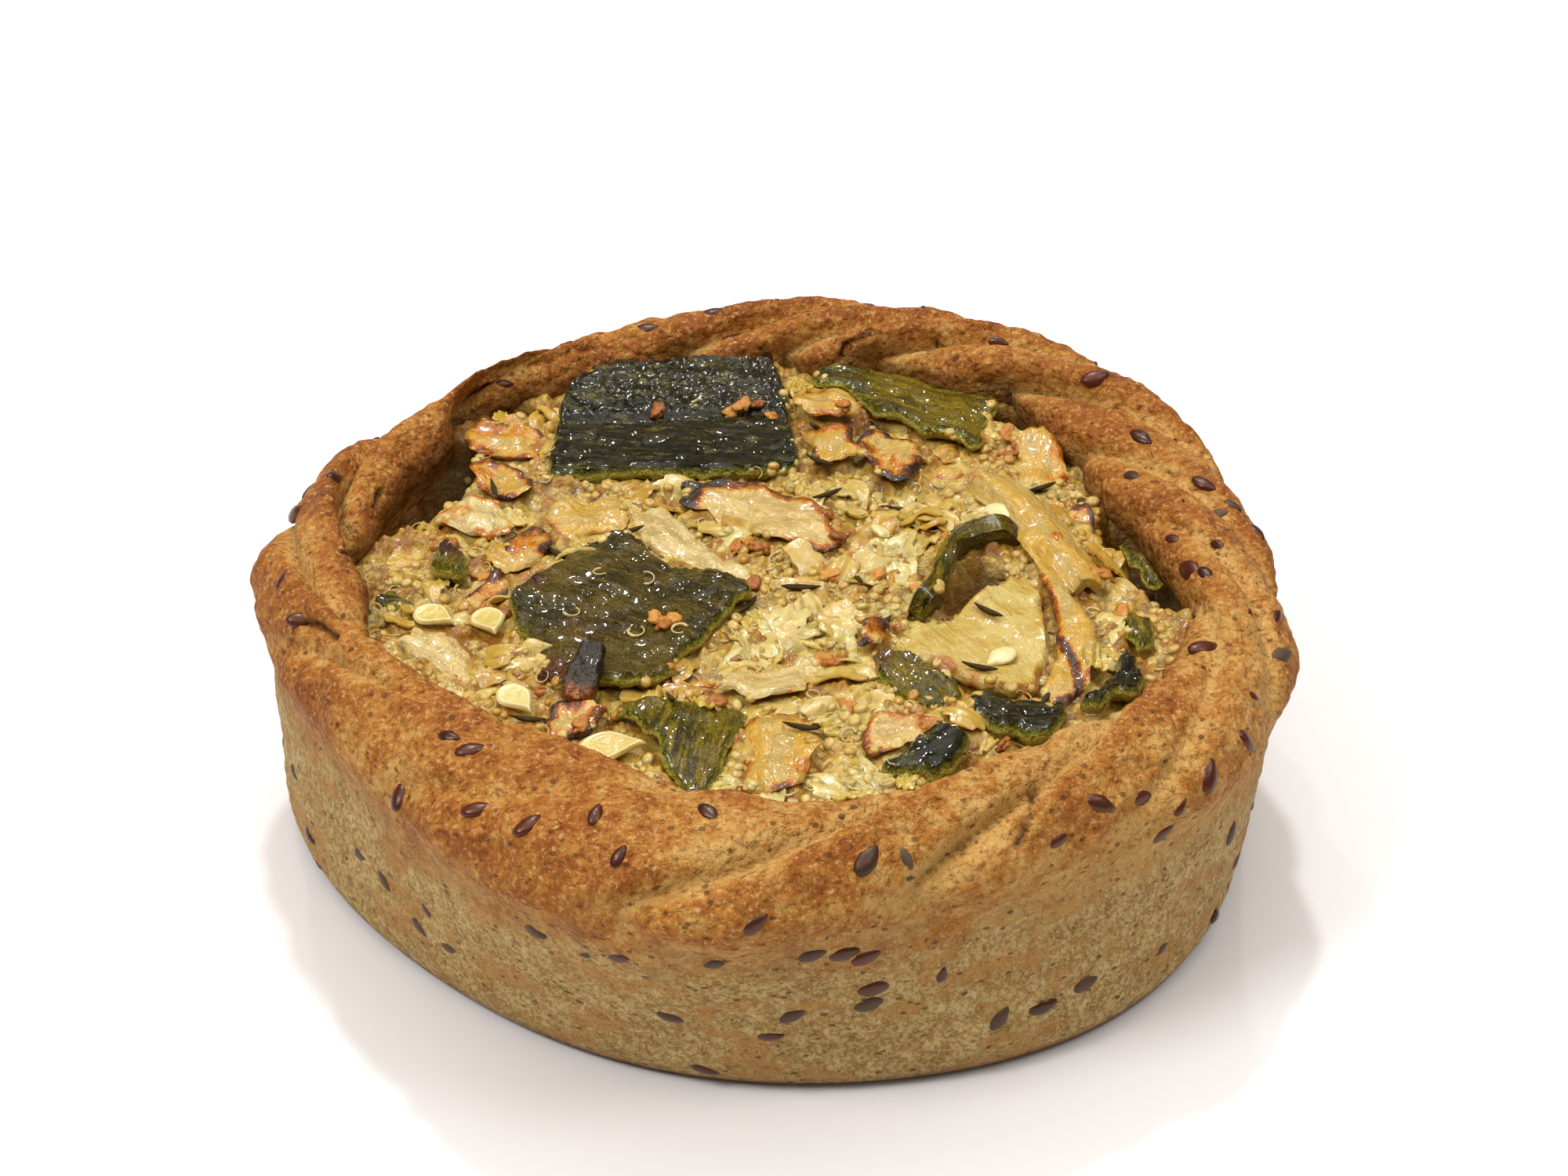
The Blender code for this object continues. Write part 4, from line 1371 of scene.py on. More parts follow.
@dataclass
class Heap:
    """Many small bits of one kind, joined into one piece."""

    name: str
    finish: str
    slot: str
    bits: list[Bit]
    crisp_degrees: float = 0.0
    places: list[Points] = field(default_factory=list)
    faces: list[tuple] = field(default_factory=list)
    tints: list[Points] = field(default_factory=list)
    count: int = 0

    def lay(self, which: int, place: Vector, normal: Vector, heading: float, scale: float,
            tint: float) -> None:
        """Lays one bit.

        Args:
            which: Number of the bit's shape.
            place: Where its middle goes.
            normal: Which way its top faces.
            heading: Turn about the normal, in radians.
            scale: Size against the modelled one.
            tint: Its own tint, from 0 to 1.
        """
        bit = self.bits[which % len(self.bits)]
        turn = (normal.to_track_quat("Z", "Y").to_matrix() @ Matrix.Rotation(heading, 3, "Z")) * scale
        self.places.append(bit.places @ np.array(turn).T + np.array(place))
        self.faces += [tuple(self.count + i for i in face) for face in bit.faces]
        self.tints.append(np.full(len(bit.places), tint))
        self.count += len(bit.places)

    def build(self, wardrobe: Wardrobe) -> Object:
        """Joins the bits that were laid and dresses the piece.

        Args:
            wardrobe: The materials by name.

        Returns:
            The piece.
        """
        mesh = bpy.data.meshes.new(self.name)
        mesh.from_pydata(np.concatenate(self.places).tolist(), [], self.faces)
        obj = bpy.data.objects.new(self.name, mesh)
        bpy.context.scene.collection.objects.link(obj)
        give_values(obj, "tint", np.concatenate(self.tints))
        return dress(obj, self.name, wardrobe[self.finish], self.slot, crisp_degrees=self.crisp_degrees)


@dataclass
class FlaxSeeds:
    """Flax seeds in the pastry: those that the picture shows where it shows them, and the rest by a rule."""

    size: tuple[float, float, float] = (4.0, 2.2, 1.3)
    sunk: float = 0.28 * MM
    rear_seeds: int = 46
    low_height: float = 4.0 * MM
    apart: float = 6.0 * MM
    # A seed whose pixel misses the pastry is moved towards the tart's middle pixel, a little at a try
    middle_pixel: tuple[int, int] = (1000, 850)
    step_in: float = 0.006
    tries: int = 12
    heading_pixels: float = 8.0
    # Pixel of the picture, heading there in degrees, tone from dark over red to grey, and size
    seen: tuple = (
        (635, 911, 115, 0.45, 1), (572, 938, -15, 0.1, 0.8), (601, 955, 10, 0.3, 1), (508, 1014, 75, 0.6, 1),
        (608, 1030, 10, 0.5, 1), (672, 1050, 35, 0.45, 1), (760, 1038, 70, 0.3, 0.8),
        (788, 1093, 60, 0.6, 0.8), (490, 1124, -60, 0.95, 0.9), (375, 984, -70, 0.9, 0.8),
        (394, 1064, -65, 0.2, 1.1), (406, 1103, -55, 0.3, 0.7), (459, 1091, -30, 1.0, 0.8),
        (544, 1163, -60, 0.3, 0.7), (536, 1184, -50, 0.9, 0.9), (573, 1210, -20, 1.0, 0.8),
        (604, 1222, 60, 0.2, 0.5), (681, 1189, -30, 0.9, 1), (788, 1222, -5, 0.8, 0.9),
        (748, 1219, -10, 0.9, 0.6), (904, 1036, -40, 0.15, 0.9), (1094, 1016, 30, 0.2, 0.9),
        (1107, 1096, 55, 0.8, 1.1), (1156, 1095, -60, 1.0, 0.7), (1162, 1121, 20, 0.8, 0.5),
        (964, 1180, 40, 0.2, 0.9), (912, 1230, 10, 0.9, 0.8), (1054, 1197, 80, 0.0, 0.5),
        (1038, 1218, 20, 0.8, 1), (1077, 1217, 15, 0.6, 1), (1107, 1222, 25, 0.4, 1),
        (1117, 1260, 15, 0.3, 1.1), (1111, 1280, 20, 0.95, 1), (1201, 1245, 70, 0.0, 0.7),
        (1220, 1256, 30, 0.9, 0.4), (1011, 1296, 25, 0.8, 1), (981, 1323, 0, 0.2, 0.9),
        (857, 1298, -15, 0.1, 1), (899, 1365, -15, 0.2, 1), (1274, 1301, 50, 0.9, 1),
        (1457, 1018, 15, 0.5, 1), (1405, 1026, -20, 0.3, 1), (1483, 1064, 40, 0.5, 1),
        (1350, 1073, 30, 0.4, 0.8), (1545, 989, 85, 0.3, 1.1), (1592, 945, -50, 0.4, 1),
        (1570, 1064, 75, 0.8, 1.1), (1580, 1099, 70, 0.9, 0.8), (1550, 1170, 80, 0.1, 1),
        (1483, 1209, 50, 0.8, 0.8), (1384, 1255, 25, 0.95, 1), (1330, 1285, 20, 0.7, 1),
        (1507, 1030, 60, 0.3, 0.6), (1599, 887, -30, 0.4, 0.6), (372, 653, 40, 0.45, 1.1),
        (359, 739, 60, 0.5, 0.8), (385, 791, -5, 0.5, 1), (441, 706, -20, 0.3, 0.7), (429, 608, 10, 0.1, 0.9),
        (1455, 557, -35, 0.05, 1.1), (1443, 607, -25, 0.8, 1), (1537, 616, -30, 0.6, 1),
        (1573, 643, -30, 0.8, 0.7), (1509, 639, 90, 0.1, 0.5), (1554, 655, 10, 1.0, 0.8),
        (1612, 675, -50, 0.1, 0.9), (1551, 695, -20, 0.1, 0.7), (1495, 686, -15, 0.6, 0.7),
        (1518, 728, -35, 0.3, 1.2), (1539, 731, -45, 0.0, 0.8), (1535, 824, 10, 0.4, 1.1),
        (1636, 835, 20, 1.0, 1), (1594, 781, 80, 0.4, 0.5), (1630, 785, 60, 0.2, 0.7),
        (644, 489, 0, 0.6, 0.7), (825, 418, 5, 0.2, 1), (909, 391, 10, 0.2, 0.9), (933, 430, 15, 0.35, 1),
        (991, 379, 60, 0.0, 0.6), (979, 458, -75, 0.2, 1), (1272, 438, -10, 0.25, 0.9),
        (1398, 481, 15, 0.45, 1.1), (636, 537, 20, 0.2, 0.8),
    )

    def lay_seen(self, heap: Heap, crust: Crust, studio: Studio) -> list[Vector]:
        """Lays the seeds that the picture shows, and returns their places.

        Args:
            heap: Where the seeds go.
            crust: The pastry, built before.
            studio: The camera whose pixels say where the seeds are.

        Returns:
            Places of the laid seeds.
        """
        placed = []
        for across, down, heading, tone, scale in self.seen:
            for step in range(self.tries):
                pixel = [own + (middle - own) * self.step_in * step
                         for own, middle in zip((across, down), self.middle_pixel)]
                eye, way = studio.ray(*pixel)
                place, normal, _, _ = crust.surface.ray_cast(eye, way)
                if place:
                    break
            if not place:
                continue
            turn = math.radians(heading)
            _, aside = studio.ray(pixel[0] + self.heading_pixels * math.cos(turn),
                                  pixel[1] - self.heading_pixels * math.sin(turn))
            reach = (place - eye).dot(normal) / aside.dot(normal)
            along = eye + aside * reach - place
            basis = normal.to_track_quat("Z", "Y").to_matrix()
            local = basis.inverted() @ along
            heap.lay(0, place - normal * self.sunk, normal, math.atan2(local.y, local.x), scale, tone)
            placed.append(place)
        return placed

    def build(self, wardrobe: Wardrobe, crust: Crust, studio: Studio) -> Object:
        """Builds all seeds as one piece.

        Args:
            wardrobe: The materials by name.
            crust: The pastry, built before.
            studio: The camera whose pixels say where seeds are.

        Returns:
            The piece.
        """
        heap = Heap("flax_seeds", "flax", "crust", [Bit.ball(self.size, 12, 8, point=0.4)])
        placed = self.lay_seen(heap, crust, studio)
        draw = random.Random(21)
        number, step = 0, 0
        while number < self.rear_seeds:
            step += 1
            angle = step * GOLDEN_ANGLE + draw.uniform(-0.2, 0.2)
            outward = Vector((math.cos(angle), math.sin(angle), 0.0))
            if step % 2:
                lean = math.radians(draw.uniform(0, 100))
                toward = outward * math.cos(lean) + Vector((0, 0, math.sin(lean)))
                start = outward * crust.roll_radius + Vector((0, 0, crust.roll_height)) + toward * 15 * MM
            else:
                toward = outward
                start = outward * 80 * MM + Vector((0, 0, draw.uniform(self.low_height, crust.wall_top)))
            place, normal, _, _ = crust.surface.ray_cast(start, -toward)
            tone, turn, scale = draw.random(), draw.uniform(0, math.pi), draw.uniform(0.7, 1.1)
            shown = (studio.eye - place).dot(normal) > 0
            if shown or any((place - other).length < self.apart for other in placed):
                continue
            heap.lay(0, place - normal * self.sunk, normal, turn, scale, tone)
            placed.append(place)
            number += 1
        return heap.build(wardrobe)


@dataclass
class Bed:
    """The level of the filling, which the pieces lie on."""

    crust: Crust
    height: float = 31.6 * MM
    edge_fall: float = 0.9 * MM
    gap: float = 0.5 * MM
    reach: float = 2.4 * MM
    into_crust: float = 3.4 * MM
    # Middle, half length, half width and depth in millimetres, and heading in degrees
    hollows: tuple = (
        (-47.5, 21.0, 11.0, 4.4, 9.0, 66), (46.8, 2.5, 10.0, 4.0, 7.0, -70), (-36.5, 38.5, 3.2, 2.6, 4.5, 40),
        (31.5, 38.5, 4.0, 2.8, 4.5, -50), (24.0, -4.0, 5.5, 3.2, 4.0, 50))

    def hollow(self, x: Points, y: Points) -> Points:
        """Depth of the hollows at each point.

        Args:
            x: How far each point lies to the right.
            y: How far each point lies to the back.

        Returns:
            Depths in metres.
        """
        depth = np.zeros(len(x))
        for middle_x, middle_y, half_length, half_width, deep, heading in self.hollows:
            away = turned(columns(x - middle_x * MM, y - middle_y * MM), -heading)
            across = np.hypot(away[:, 0] / (half_length * MM), away[:, 1] / (half_width * MM))
            depth += deep * MM * (1 - ramp(across, 0.55, 1.35))
        return depth

    def level(self, x: Points, y: Points) -> Points:
        """Height of the bare filling."""
        reach = np.hypot(x, y) / (self.crust.roll_radius - self.crust.half_width)
        return self.height - self.edge_fall * reach**2 - self.hollow(x, y)

    def resting(self, x: Points, y: Points) -> Points:
        """Height at which a piece lies clear of the bare filling."""
        steps = itertools.product((-self.reach, 0, self.reach), repeat=2)
        return self.gap + np.max([self.level(x + dx, y + dy) for dx, dy in steps], axis=0)

    def edge(self, angle: Points) -> Points:
        """Radius at which the filling meets the pastry."""
        return self.crust.lip_radius(angle) + self.into_crust

    def within(self, points: Points, margin: float) -> Points:
        """The points, drawn in to stay this far inside the opening.

        Args:
            points: Rows of x and y.
            margin: Distance kept to the pastry.

        Returns:
            Rows of x and y.
        """
        radius = np.hypot(points[:, 0], points[:, 1])
        most = self.crust.lip_radius(np.arctan2(points[:, 1], points[:, 0])) - margin
        return points * np.minimum(1.0, most / np.maximum(radius, MM))[:, None]


def spotted(flat: Points, spots: Sequence[tuple], rim: Points) -> Points:
    """How far spots brown each point, most of all near a piece's edge, where rim is 1.

    Args:
        flat: Rows of x and y.
        spots: Middle, radius and browning of each spot.
        rim: Nearness to the edge, from 0 to 1.

    Returns:
        The browning at each point.
    """
    brown = np.zeros(len(flat))
    for x, y, radius, depth in spots:
        away = np.hypot(flat[:, 0] - x * MM, flat[:, 1] - y * MM) / (radius * MM)
        brown = np.maximum(brown, depth * (1 - ramp(away, 0.4, 1.25)) * (0.7 + 0.3 * rim))
    return brown


@dataclass
class Slab:
    """One flat or wavy piece on the filling, cut from a fine sheet along its outline.

    Sizes that don't name MM are in millimetres, and the outline counts from the middle of the tart. Each spot
    has a middle, a radius and a browning from 0 to 1, where 0.4 is golden, 0.7 dark brown and 1 black. Each
    scorch has its line, half width and browning.
    """

    node: str
    kind: Kind
    thickness: float
    outline: tuple
    heading: float = 0.0
    spots: tuple = ()
    scorches: tuple = ()
    tint: float = 0.5
    curl: float = 0.7
    ripple: float = 0.45
    tilt: tuple[float, float] = (0.0, 0.0)
    sheet: float = 0.9
    tear: float = 1.05
    edge_brown: float = 0.0
    fold: tuple[float, float] | None = None
    cell: float = 0.43 * MM
    edge_round: float = 0.45 * MM
    margin: float = 0.8 * MM
    raised: float = 0.0
    onion_lower: float = 0.7
    crisp_degrees: float = 55.0

    @property
    def rise(self) -> float:
        """Height of the top over the place where the piece would rest, in millimetres."""
        return self.thickness + self.raised - (self.onion_lower if self.kind.is_onion else 0.0)

    def line(self, bed: Bed) -> Points:
        """The rounded and slightly torn outline, in metres.

        Args:
            bed: Level of the filling.

        Returns:
            The line's points, one row each.
        """
        line = smooth_line(metres(self.outline), 6, closed=True)
        seed = len(self.node)
        tear = np.stack([layered_noise(line, 2.6 * MM, seed + n, layers=3) for n in (0, 9)], axis=1)
        return bed.within(line + self.tear * MM * tear, self.margin)

    def cut(self, line: Points) -> Object:
        """Cuts the sheet: a grid, less the points outside the line, with its border drawn to the line.

        Args:
            line: The outline.

        Returns:
            The flat sheet.
        """
        low, high = line.min(axis=0) - self.cell, line.max(axis=0) + self.cell
        span = high - low
        counts = np.ceil(span / self.cell).astype(int)
        obj, places = started(bpy.ops.mesh.primitive_grid_add, x_subdivisions=int(counts[0]),
                            y_subdivisions=int(counts[1]), size=1.0)
        places[:, :2] = (places[:, :2] + 0.5) * span + low
        move_points(obj, places)
        mark_points(obj, inside_distance(places[:, :2], line) < -0.2 * self.cell)
        with editing(obj, everything=False):
            bpy.ops.mesh.delete(type="VERT")
            bpy.ops.mesh.select_all(action="SELECT")
            bpy.ops.mesh.region_to_loop()
        border = np.array([point.select for point in obj.data.vertices])
        places = points_of(obj)
        places[border, :2] = nearest_on_outline(places[border, :2], line)
        move_points(obj, places)
        return obj

    def browning(self, flat: Points, inside: Points) -> Points:
        """How far each point is browned or charred, most of all along the edge.

        Args:
            flat: Rows of x and y.
            inside: Distance from the edge.

        Returns:
            The browning at each point.
        """
        rim = 1 - ramp(inside, 0.1 * MM, 1.8 * MM)
        brown = 1.5 * self.edge_brown * rim * ramp(smooth_noise(flat, 3.0 * MM, 17), -0.2, 0.4)
        brown = np.maximum(brown, spotted(flat, self.spots, rim))
        for points, half_width, depth in self.scorches:
            line = smooth_line(metres(points), 6, closed=False)
            away = np.linalg.norm(flat[:, None] - line[None], axis=-1).min(axis=1) / (half_width * MM)
            brown = np.maximum(brown, depth * (1 - ramp(away, 0.3, 1.4)))
        return brown

    def build(self, bed: Bed, wardrobe: Wardrobe) -> Object:
        """Builds the dressed piece.

        Args:
            bed: Level of the filling.
            wardrobe: The materials by name.

        Returns:
            The piece.
        """
        line = self.line(bed)
        obj = self.cut(line)
        upper = len(obj.data.vertices)
        apply_modifier(obj, "SOLIDIFY", thickness=1.0 * MM, offset=-1.0)
        places = points_of(obj)
        flat = places[:, :2]
        inside = np.maximum(inside_distance(flat, line), 0.0)
        round_share = np.sqrt(1 - (1 - np.clip(inside / self.edge_round, 0, 1)) ** 2)
        seed = 3 * len(self.node) + int(10 * self.thickness)
        middle = line.mean(axis=0)
        lay = turned(flat - middle, -self.heading)
        ripples = smooth_noise(columns(lay[:, 0] / 2.2, lay[:, 1]), 3.0 * MM, seed)
        broad = smooth_noise(flat, 7.5 * MM, seed + 4)
        top = bed.resting(flat[:, 0], flat[:, 1]) + self.rise * MM
        top += self.ripple * MM * (0.7 * ripples + broad)
        top += self.curl * MM * broad * (1 - ramp(inside, 0.5 * MM, 4.5 * MM))
        top += (flat - middle) @ np.array(self.tilt)
        if self.fold:
            fold_y, rise = self.fold
            over = flat[:, 1] - fold_y * MM - 0.06 * flat[:, 0]
            top += rise * MM * ramp(over, -0.5 * MM, 16 * MM) - 0.8 * MM * hump(over, 0.9 * MM)
            bumps, _ = grain_cells(flat + 0.3 * MM * broad[:, None], 1.5 * MM, seed)
            top += 0.5 * MM * (1 - ramp(bumps, 0.1, 0.6)) * ramp(over, 0, 1.5 * MM)
        deep = self.sheet * MM
        top_side = np.arange(len(places)) < upper
        if self.kind.is_onion:
            wave = np.sin(math.tau * lay[:, 1] / (1.5 * MM) + 2.5 * smooth_noise(lay, 4.0 * MM, seed + 9))
            top += 0.06 * MM * wave * ramp(smooth_noise(flat, 5.0 * MM, seed + 2), -0.5, 0.3)
            top += 0.45 * MM * smooth_noise(flat, 3.2 * MM, seed + 6)
        grit = 0.27 if self.kind.is_skin else 0.17
        top += grit * MM * layered_noise(flat, 1.5 * MM, seed + 5, layers=2)
        drop = (1 - round_share) * 0.45 * deep
        under = top - deep * (0.55 + 0.45 * round_share)
        places[:, 2] = np.where(top_side, top - drop, np.minimum(under, top - drop - 0.1 * deep))
        fine = smooth_noise(np.hstack([lay / (1.8, 0.8), places[:, 2:]]), 0.9 * MM, seed + 7)
        places[:, 2] += np.where(top_side, 0.09 * MM * fine * np.clip(inside / MM, 0, 1), 0)
        move_points(obj, places)
        give_values(obj, "lay", np.hstack([lay, places[:, 2:]]) + seed * 0.013)
        give_values(obj, "brown", self.browning(flat, inside))
        give_values(obj, "tint", np.full(len(places), self.tint))
        if self.kind.is_skin:
            at_edge = 0.8 * (1 - np.clip(inside / self.edge_round, 0, 1))
            give_values(obj, "flesh", np.where(top_side, at_edge, 1.0))
        right_way_out(obj)
        return dress(obj, self.node + "_piece", wardrobe[self.kind.finish], self.kind.slot, [self.node],
                     self.crisp_degrees)


@dataclass
class Ribbon:
    """A narrow piece that follows a middle line over the filling, lying flat or standing on its edge."""

    node: str
    kind: Kind
    width: float
    rise: float
    path: tuple
    standing: bool
    lean: float = 0.0
    sheet: float = 1.4
    spots: tuple = ()
    tint: float = 0.5
    rows: int = 9

    def build(self, bed: Bed, wardrobe: Wardrobe) -> Object:
        """Builds the dressed piece: a grid whose rows follow the line, thickened and rounded.

        Args:
            bed: Level of the filling.
            wardrobe: The materials by name.

        Returns:
            The piece.
        """
        line = smooth_line(metres(self.path), 8, closed=False)
        run = np.gradient(line, axis=0)
        run /= np.linalg.norm(run, axis=1)[:, None]
        side = columns(run[:, 1], -run[:, 0])
        obj, places = started(bpy.ops.mesh.primitive_grid_add, x_subdivisions=len(line) - 1,
                            y_subdivisions=self.rows, size=2.0)
        column = np.rint((places[:, 0] + 1) / 2 * (len(line) - 1)).astype(int)
        across = places[:, 1].copy()
        end = np.abs(places[:, 0])
        taper = 1 - 0.45 * ramp(end, 0.8, 1.0)
        base = bed.resting(line[:, 0], line[:, 1])[column]
        wobble = smooth_noise(places[:, :2] + 3.1, 0.35, len(self.node))
        if self.standing:
            up = (across + 1) / 2 * self.rise * MM * taper * 1.15
            offset = self.lean * MM * (across + 1) / 2 + 0.35 * MM * wobble
            height = base - 0.4 * MM + up
        else:
            offset = across * self.width * MM / 2 * taper + 0.3 * MM * wobble
            arch = (1 - across**2) * 0.45 * self.rise * MM
            height = base + 0.55 * self.rise * MM + arch + 0.3 * MM * wobble
        places[:, :2] = line[column] + side[column] * offset[:, None]
        places[:, 2] = height
        move_points(obj, places)
        thickness = (self.width if self.standing else self.sheet) * MM
        apply_modifier(obj, "SOLIDIFY", thickness=thickness, offset=0.0)
        right_way_out(obj)
        apply_modifier(obj, "BEVEL", width=0.25 * thickness, segments=2, limit_method="ANGLE")
        apply_modifier(obj, "SUBSURF", levels=1, render_levels=1)
        places = points_of(obj)
        flat = places[:, :2]
        nearest = np.linalg.norm(flat[:, None] - line[None], axis=-1).argmin(axis=1)
        aside = ((flat - line[nearest]) * side[nearest]).sum(axis=1)
        places[:, 2] += 0.16 * MM * layered_noise(places, 1.4 * MM, len(self.node))
        move_points(obj, places)
        give_values(obj, "lay", columns(nearest * 0.5 * MM, aside, places[:, 2]))
        give_values(obj, "brown", spotted(flat, self.spots, np.ones(len(flat))))
        give_values(obj, "tint", np.full(len(places), self.tint))
        if self.kind.is_skin:
            give_values(obj, "flesh", ramp(-aside, 0.25 * MM, 1.0 * MM))
        return dress(obj, self.node + "_piece", wardrobe[self.kind.finish], self.kind.slot, [self.node])


@dataclass
class ZucchiniSeed:
    """A flat pale seed with one pointed end and a thin raised rim."""

    number: int
    x: float
    y: float
    length: float
    width: float
    heading: float
    tint: float = 0.5
    thickness: float = 1.3
    raised: float = 1.9

    def outline(self, margin: float) -> Points:
        """The seed's oval seen from above, this much wider all round, in metres.

        Args:
            margin: How much wider, in metres.

        Returns:
            The oval's points, one row each.
        """
        angle = np.linspace(0, math.tau, 16, endpoint=False)
        half_length, half_width = self.length * MM / 2 + margin, self.width * MM / 2 + margin
        oval = columns(half_length * np.cos(angle), half_width * np.sin(angle))
        return turned(oval, self.heading) + np.array((self.x, self.y)) * MM

    def build(self, bed: Bed, wardrobe: Wardrobe) -> Object:
        """Builds the dressed seed from a fine ball, flattened and drawn to a point.

        Args:
            bed: Level of the filling.
            wardrobe: The materials by name.

        Returns:
            The seed.
        """
        obj, places = started(bpy.ops.mesh.primitive_uv_sphere_add, segments=40, ring_count=24, radius=1.0)
        x, y, z = places.T
        reach = np.hypot(x, y)
        rim = hump(reach - 0.82, 0.09)
        bowed = 0.35 * x + 0.3 * smooth_noise(places, 0.9, 4)
        places[:, 2] = np.sign(z) * np.abs(z) ** 0.8 * (0.6 + 0.5 * rim) + bowed
        places[:, 1] = y * (1 - 0.8 * ramp(x, -0.35, 1.05)) + 0.09 * np.sin(2.2 * x)
        places *= np.array((self.length, self.width, self.thickness)) * MM / 2
        tilt = Matrix.Rotation(math.radians(self.heading), 4, "Z") @ Matrix.Rotation(math.radians(6), 4, "X")
        places = places @ np.array(tilt.to_3x3()).T
        level = bed.resting(np.array([self.x * MM]), np.array([self.y * MM]))[0]
        places += np.array((self.x * MM, self.y * MM, level + self.raised * MM))
        move_points(obj, places)
        tip = ramp(x, 0.55, 1.0)
        give_values(obj, "tint", np.clip(self.tint + 0.4 * tip - 0.5 * rim, 0, 1))
        node = f"zucchini_seed_{self.number}"
        return dress(obj, node + "_piece", wardrobe["hull"], "zucchini_seed", [node])


@dataclass
class CharredStick:
    """The charred stick of onion that leans on the left slice of zucchini."""

    foot: Vector = field(default_factory=lambda: Vector((-24.6, -30.2, 34.2)) * MM)
    top: Vector = field(default_factory=lambda: Vector((-22.6, -23.2, 37.4)) * MM)
    width: float = 3.5 * MM
    thickness: float = 2.0 * MM

    def build(self, wardrobe: Wardrobe) -> Object:
        """Builds the dressed stick: a block, hollowed at its top, subdivided, rounded and wrinkled.

        Args:
            wardrobe: The materials by name.

        Returns:
            The stick.
        """
        obj, places = started(bpy.ops.mesh.primitive_cube_add, size=1.0)
        mark_points(obj, places[:, 2] > 0)
        with editing(obj, everything=False):
            bpy.ops.mesh.select_mode(type="FACE")
            bpy.ops.mesh.inset(thickness=0.22)
            bpy.ops.mesh.extrude_region_move(TRANSFORM_OT_translate={"value": (0, 0, -0.16)})
            bpy.ops.mesh.select_all(action="SELECT")
            bpy.ops.mesh.subdivide(number_cuts=3)
        apply_modifier(obj, "SUBSURF", levels=2, render_levels=2)
        axis = self.top - self.foot
        places = points_of(obj)
        along = places[:, 2] + 0.5
        places[:, :2] *= (1 + 0.18 * np.sin(5 * along))[:, None]
        turn = axis.to_track_quat("Z", "Y").to_matrix()
        places = places * np.array((self.width, self.thickness, axis.length))
        places += 0.22 * MM * np.stack([smooth_noise(places, 0.9 * MM, n) for n in range(3)], axis=1)
        places = places @ np.array(turn).T + np.array((self.top + self.foot) / 2)
        move_points(obj, places)
        give_values(obj, "lay", columns(along * axis.length, places[:, 0], places[:, 1]))
        give_values(obj, "brown", 0.55 + 0.5 * ramp(along, 0.05, 0.45))
        give_values(obj, "tint", np.full(len(places), 0.5))
        right_way_out(obj)
        return dress(obj, "onion_charred_stick_piece", wardrobe["char"], "charred", ["onion_charred_stick"])


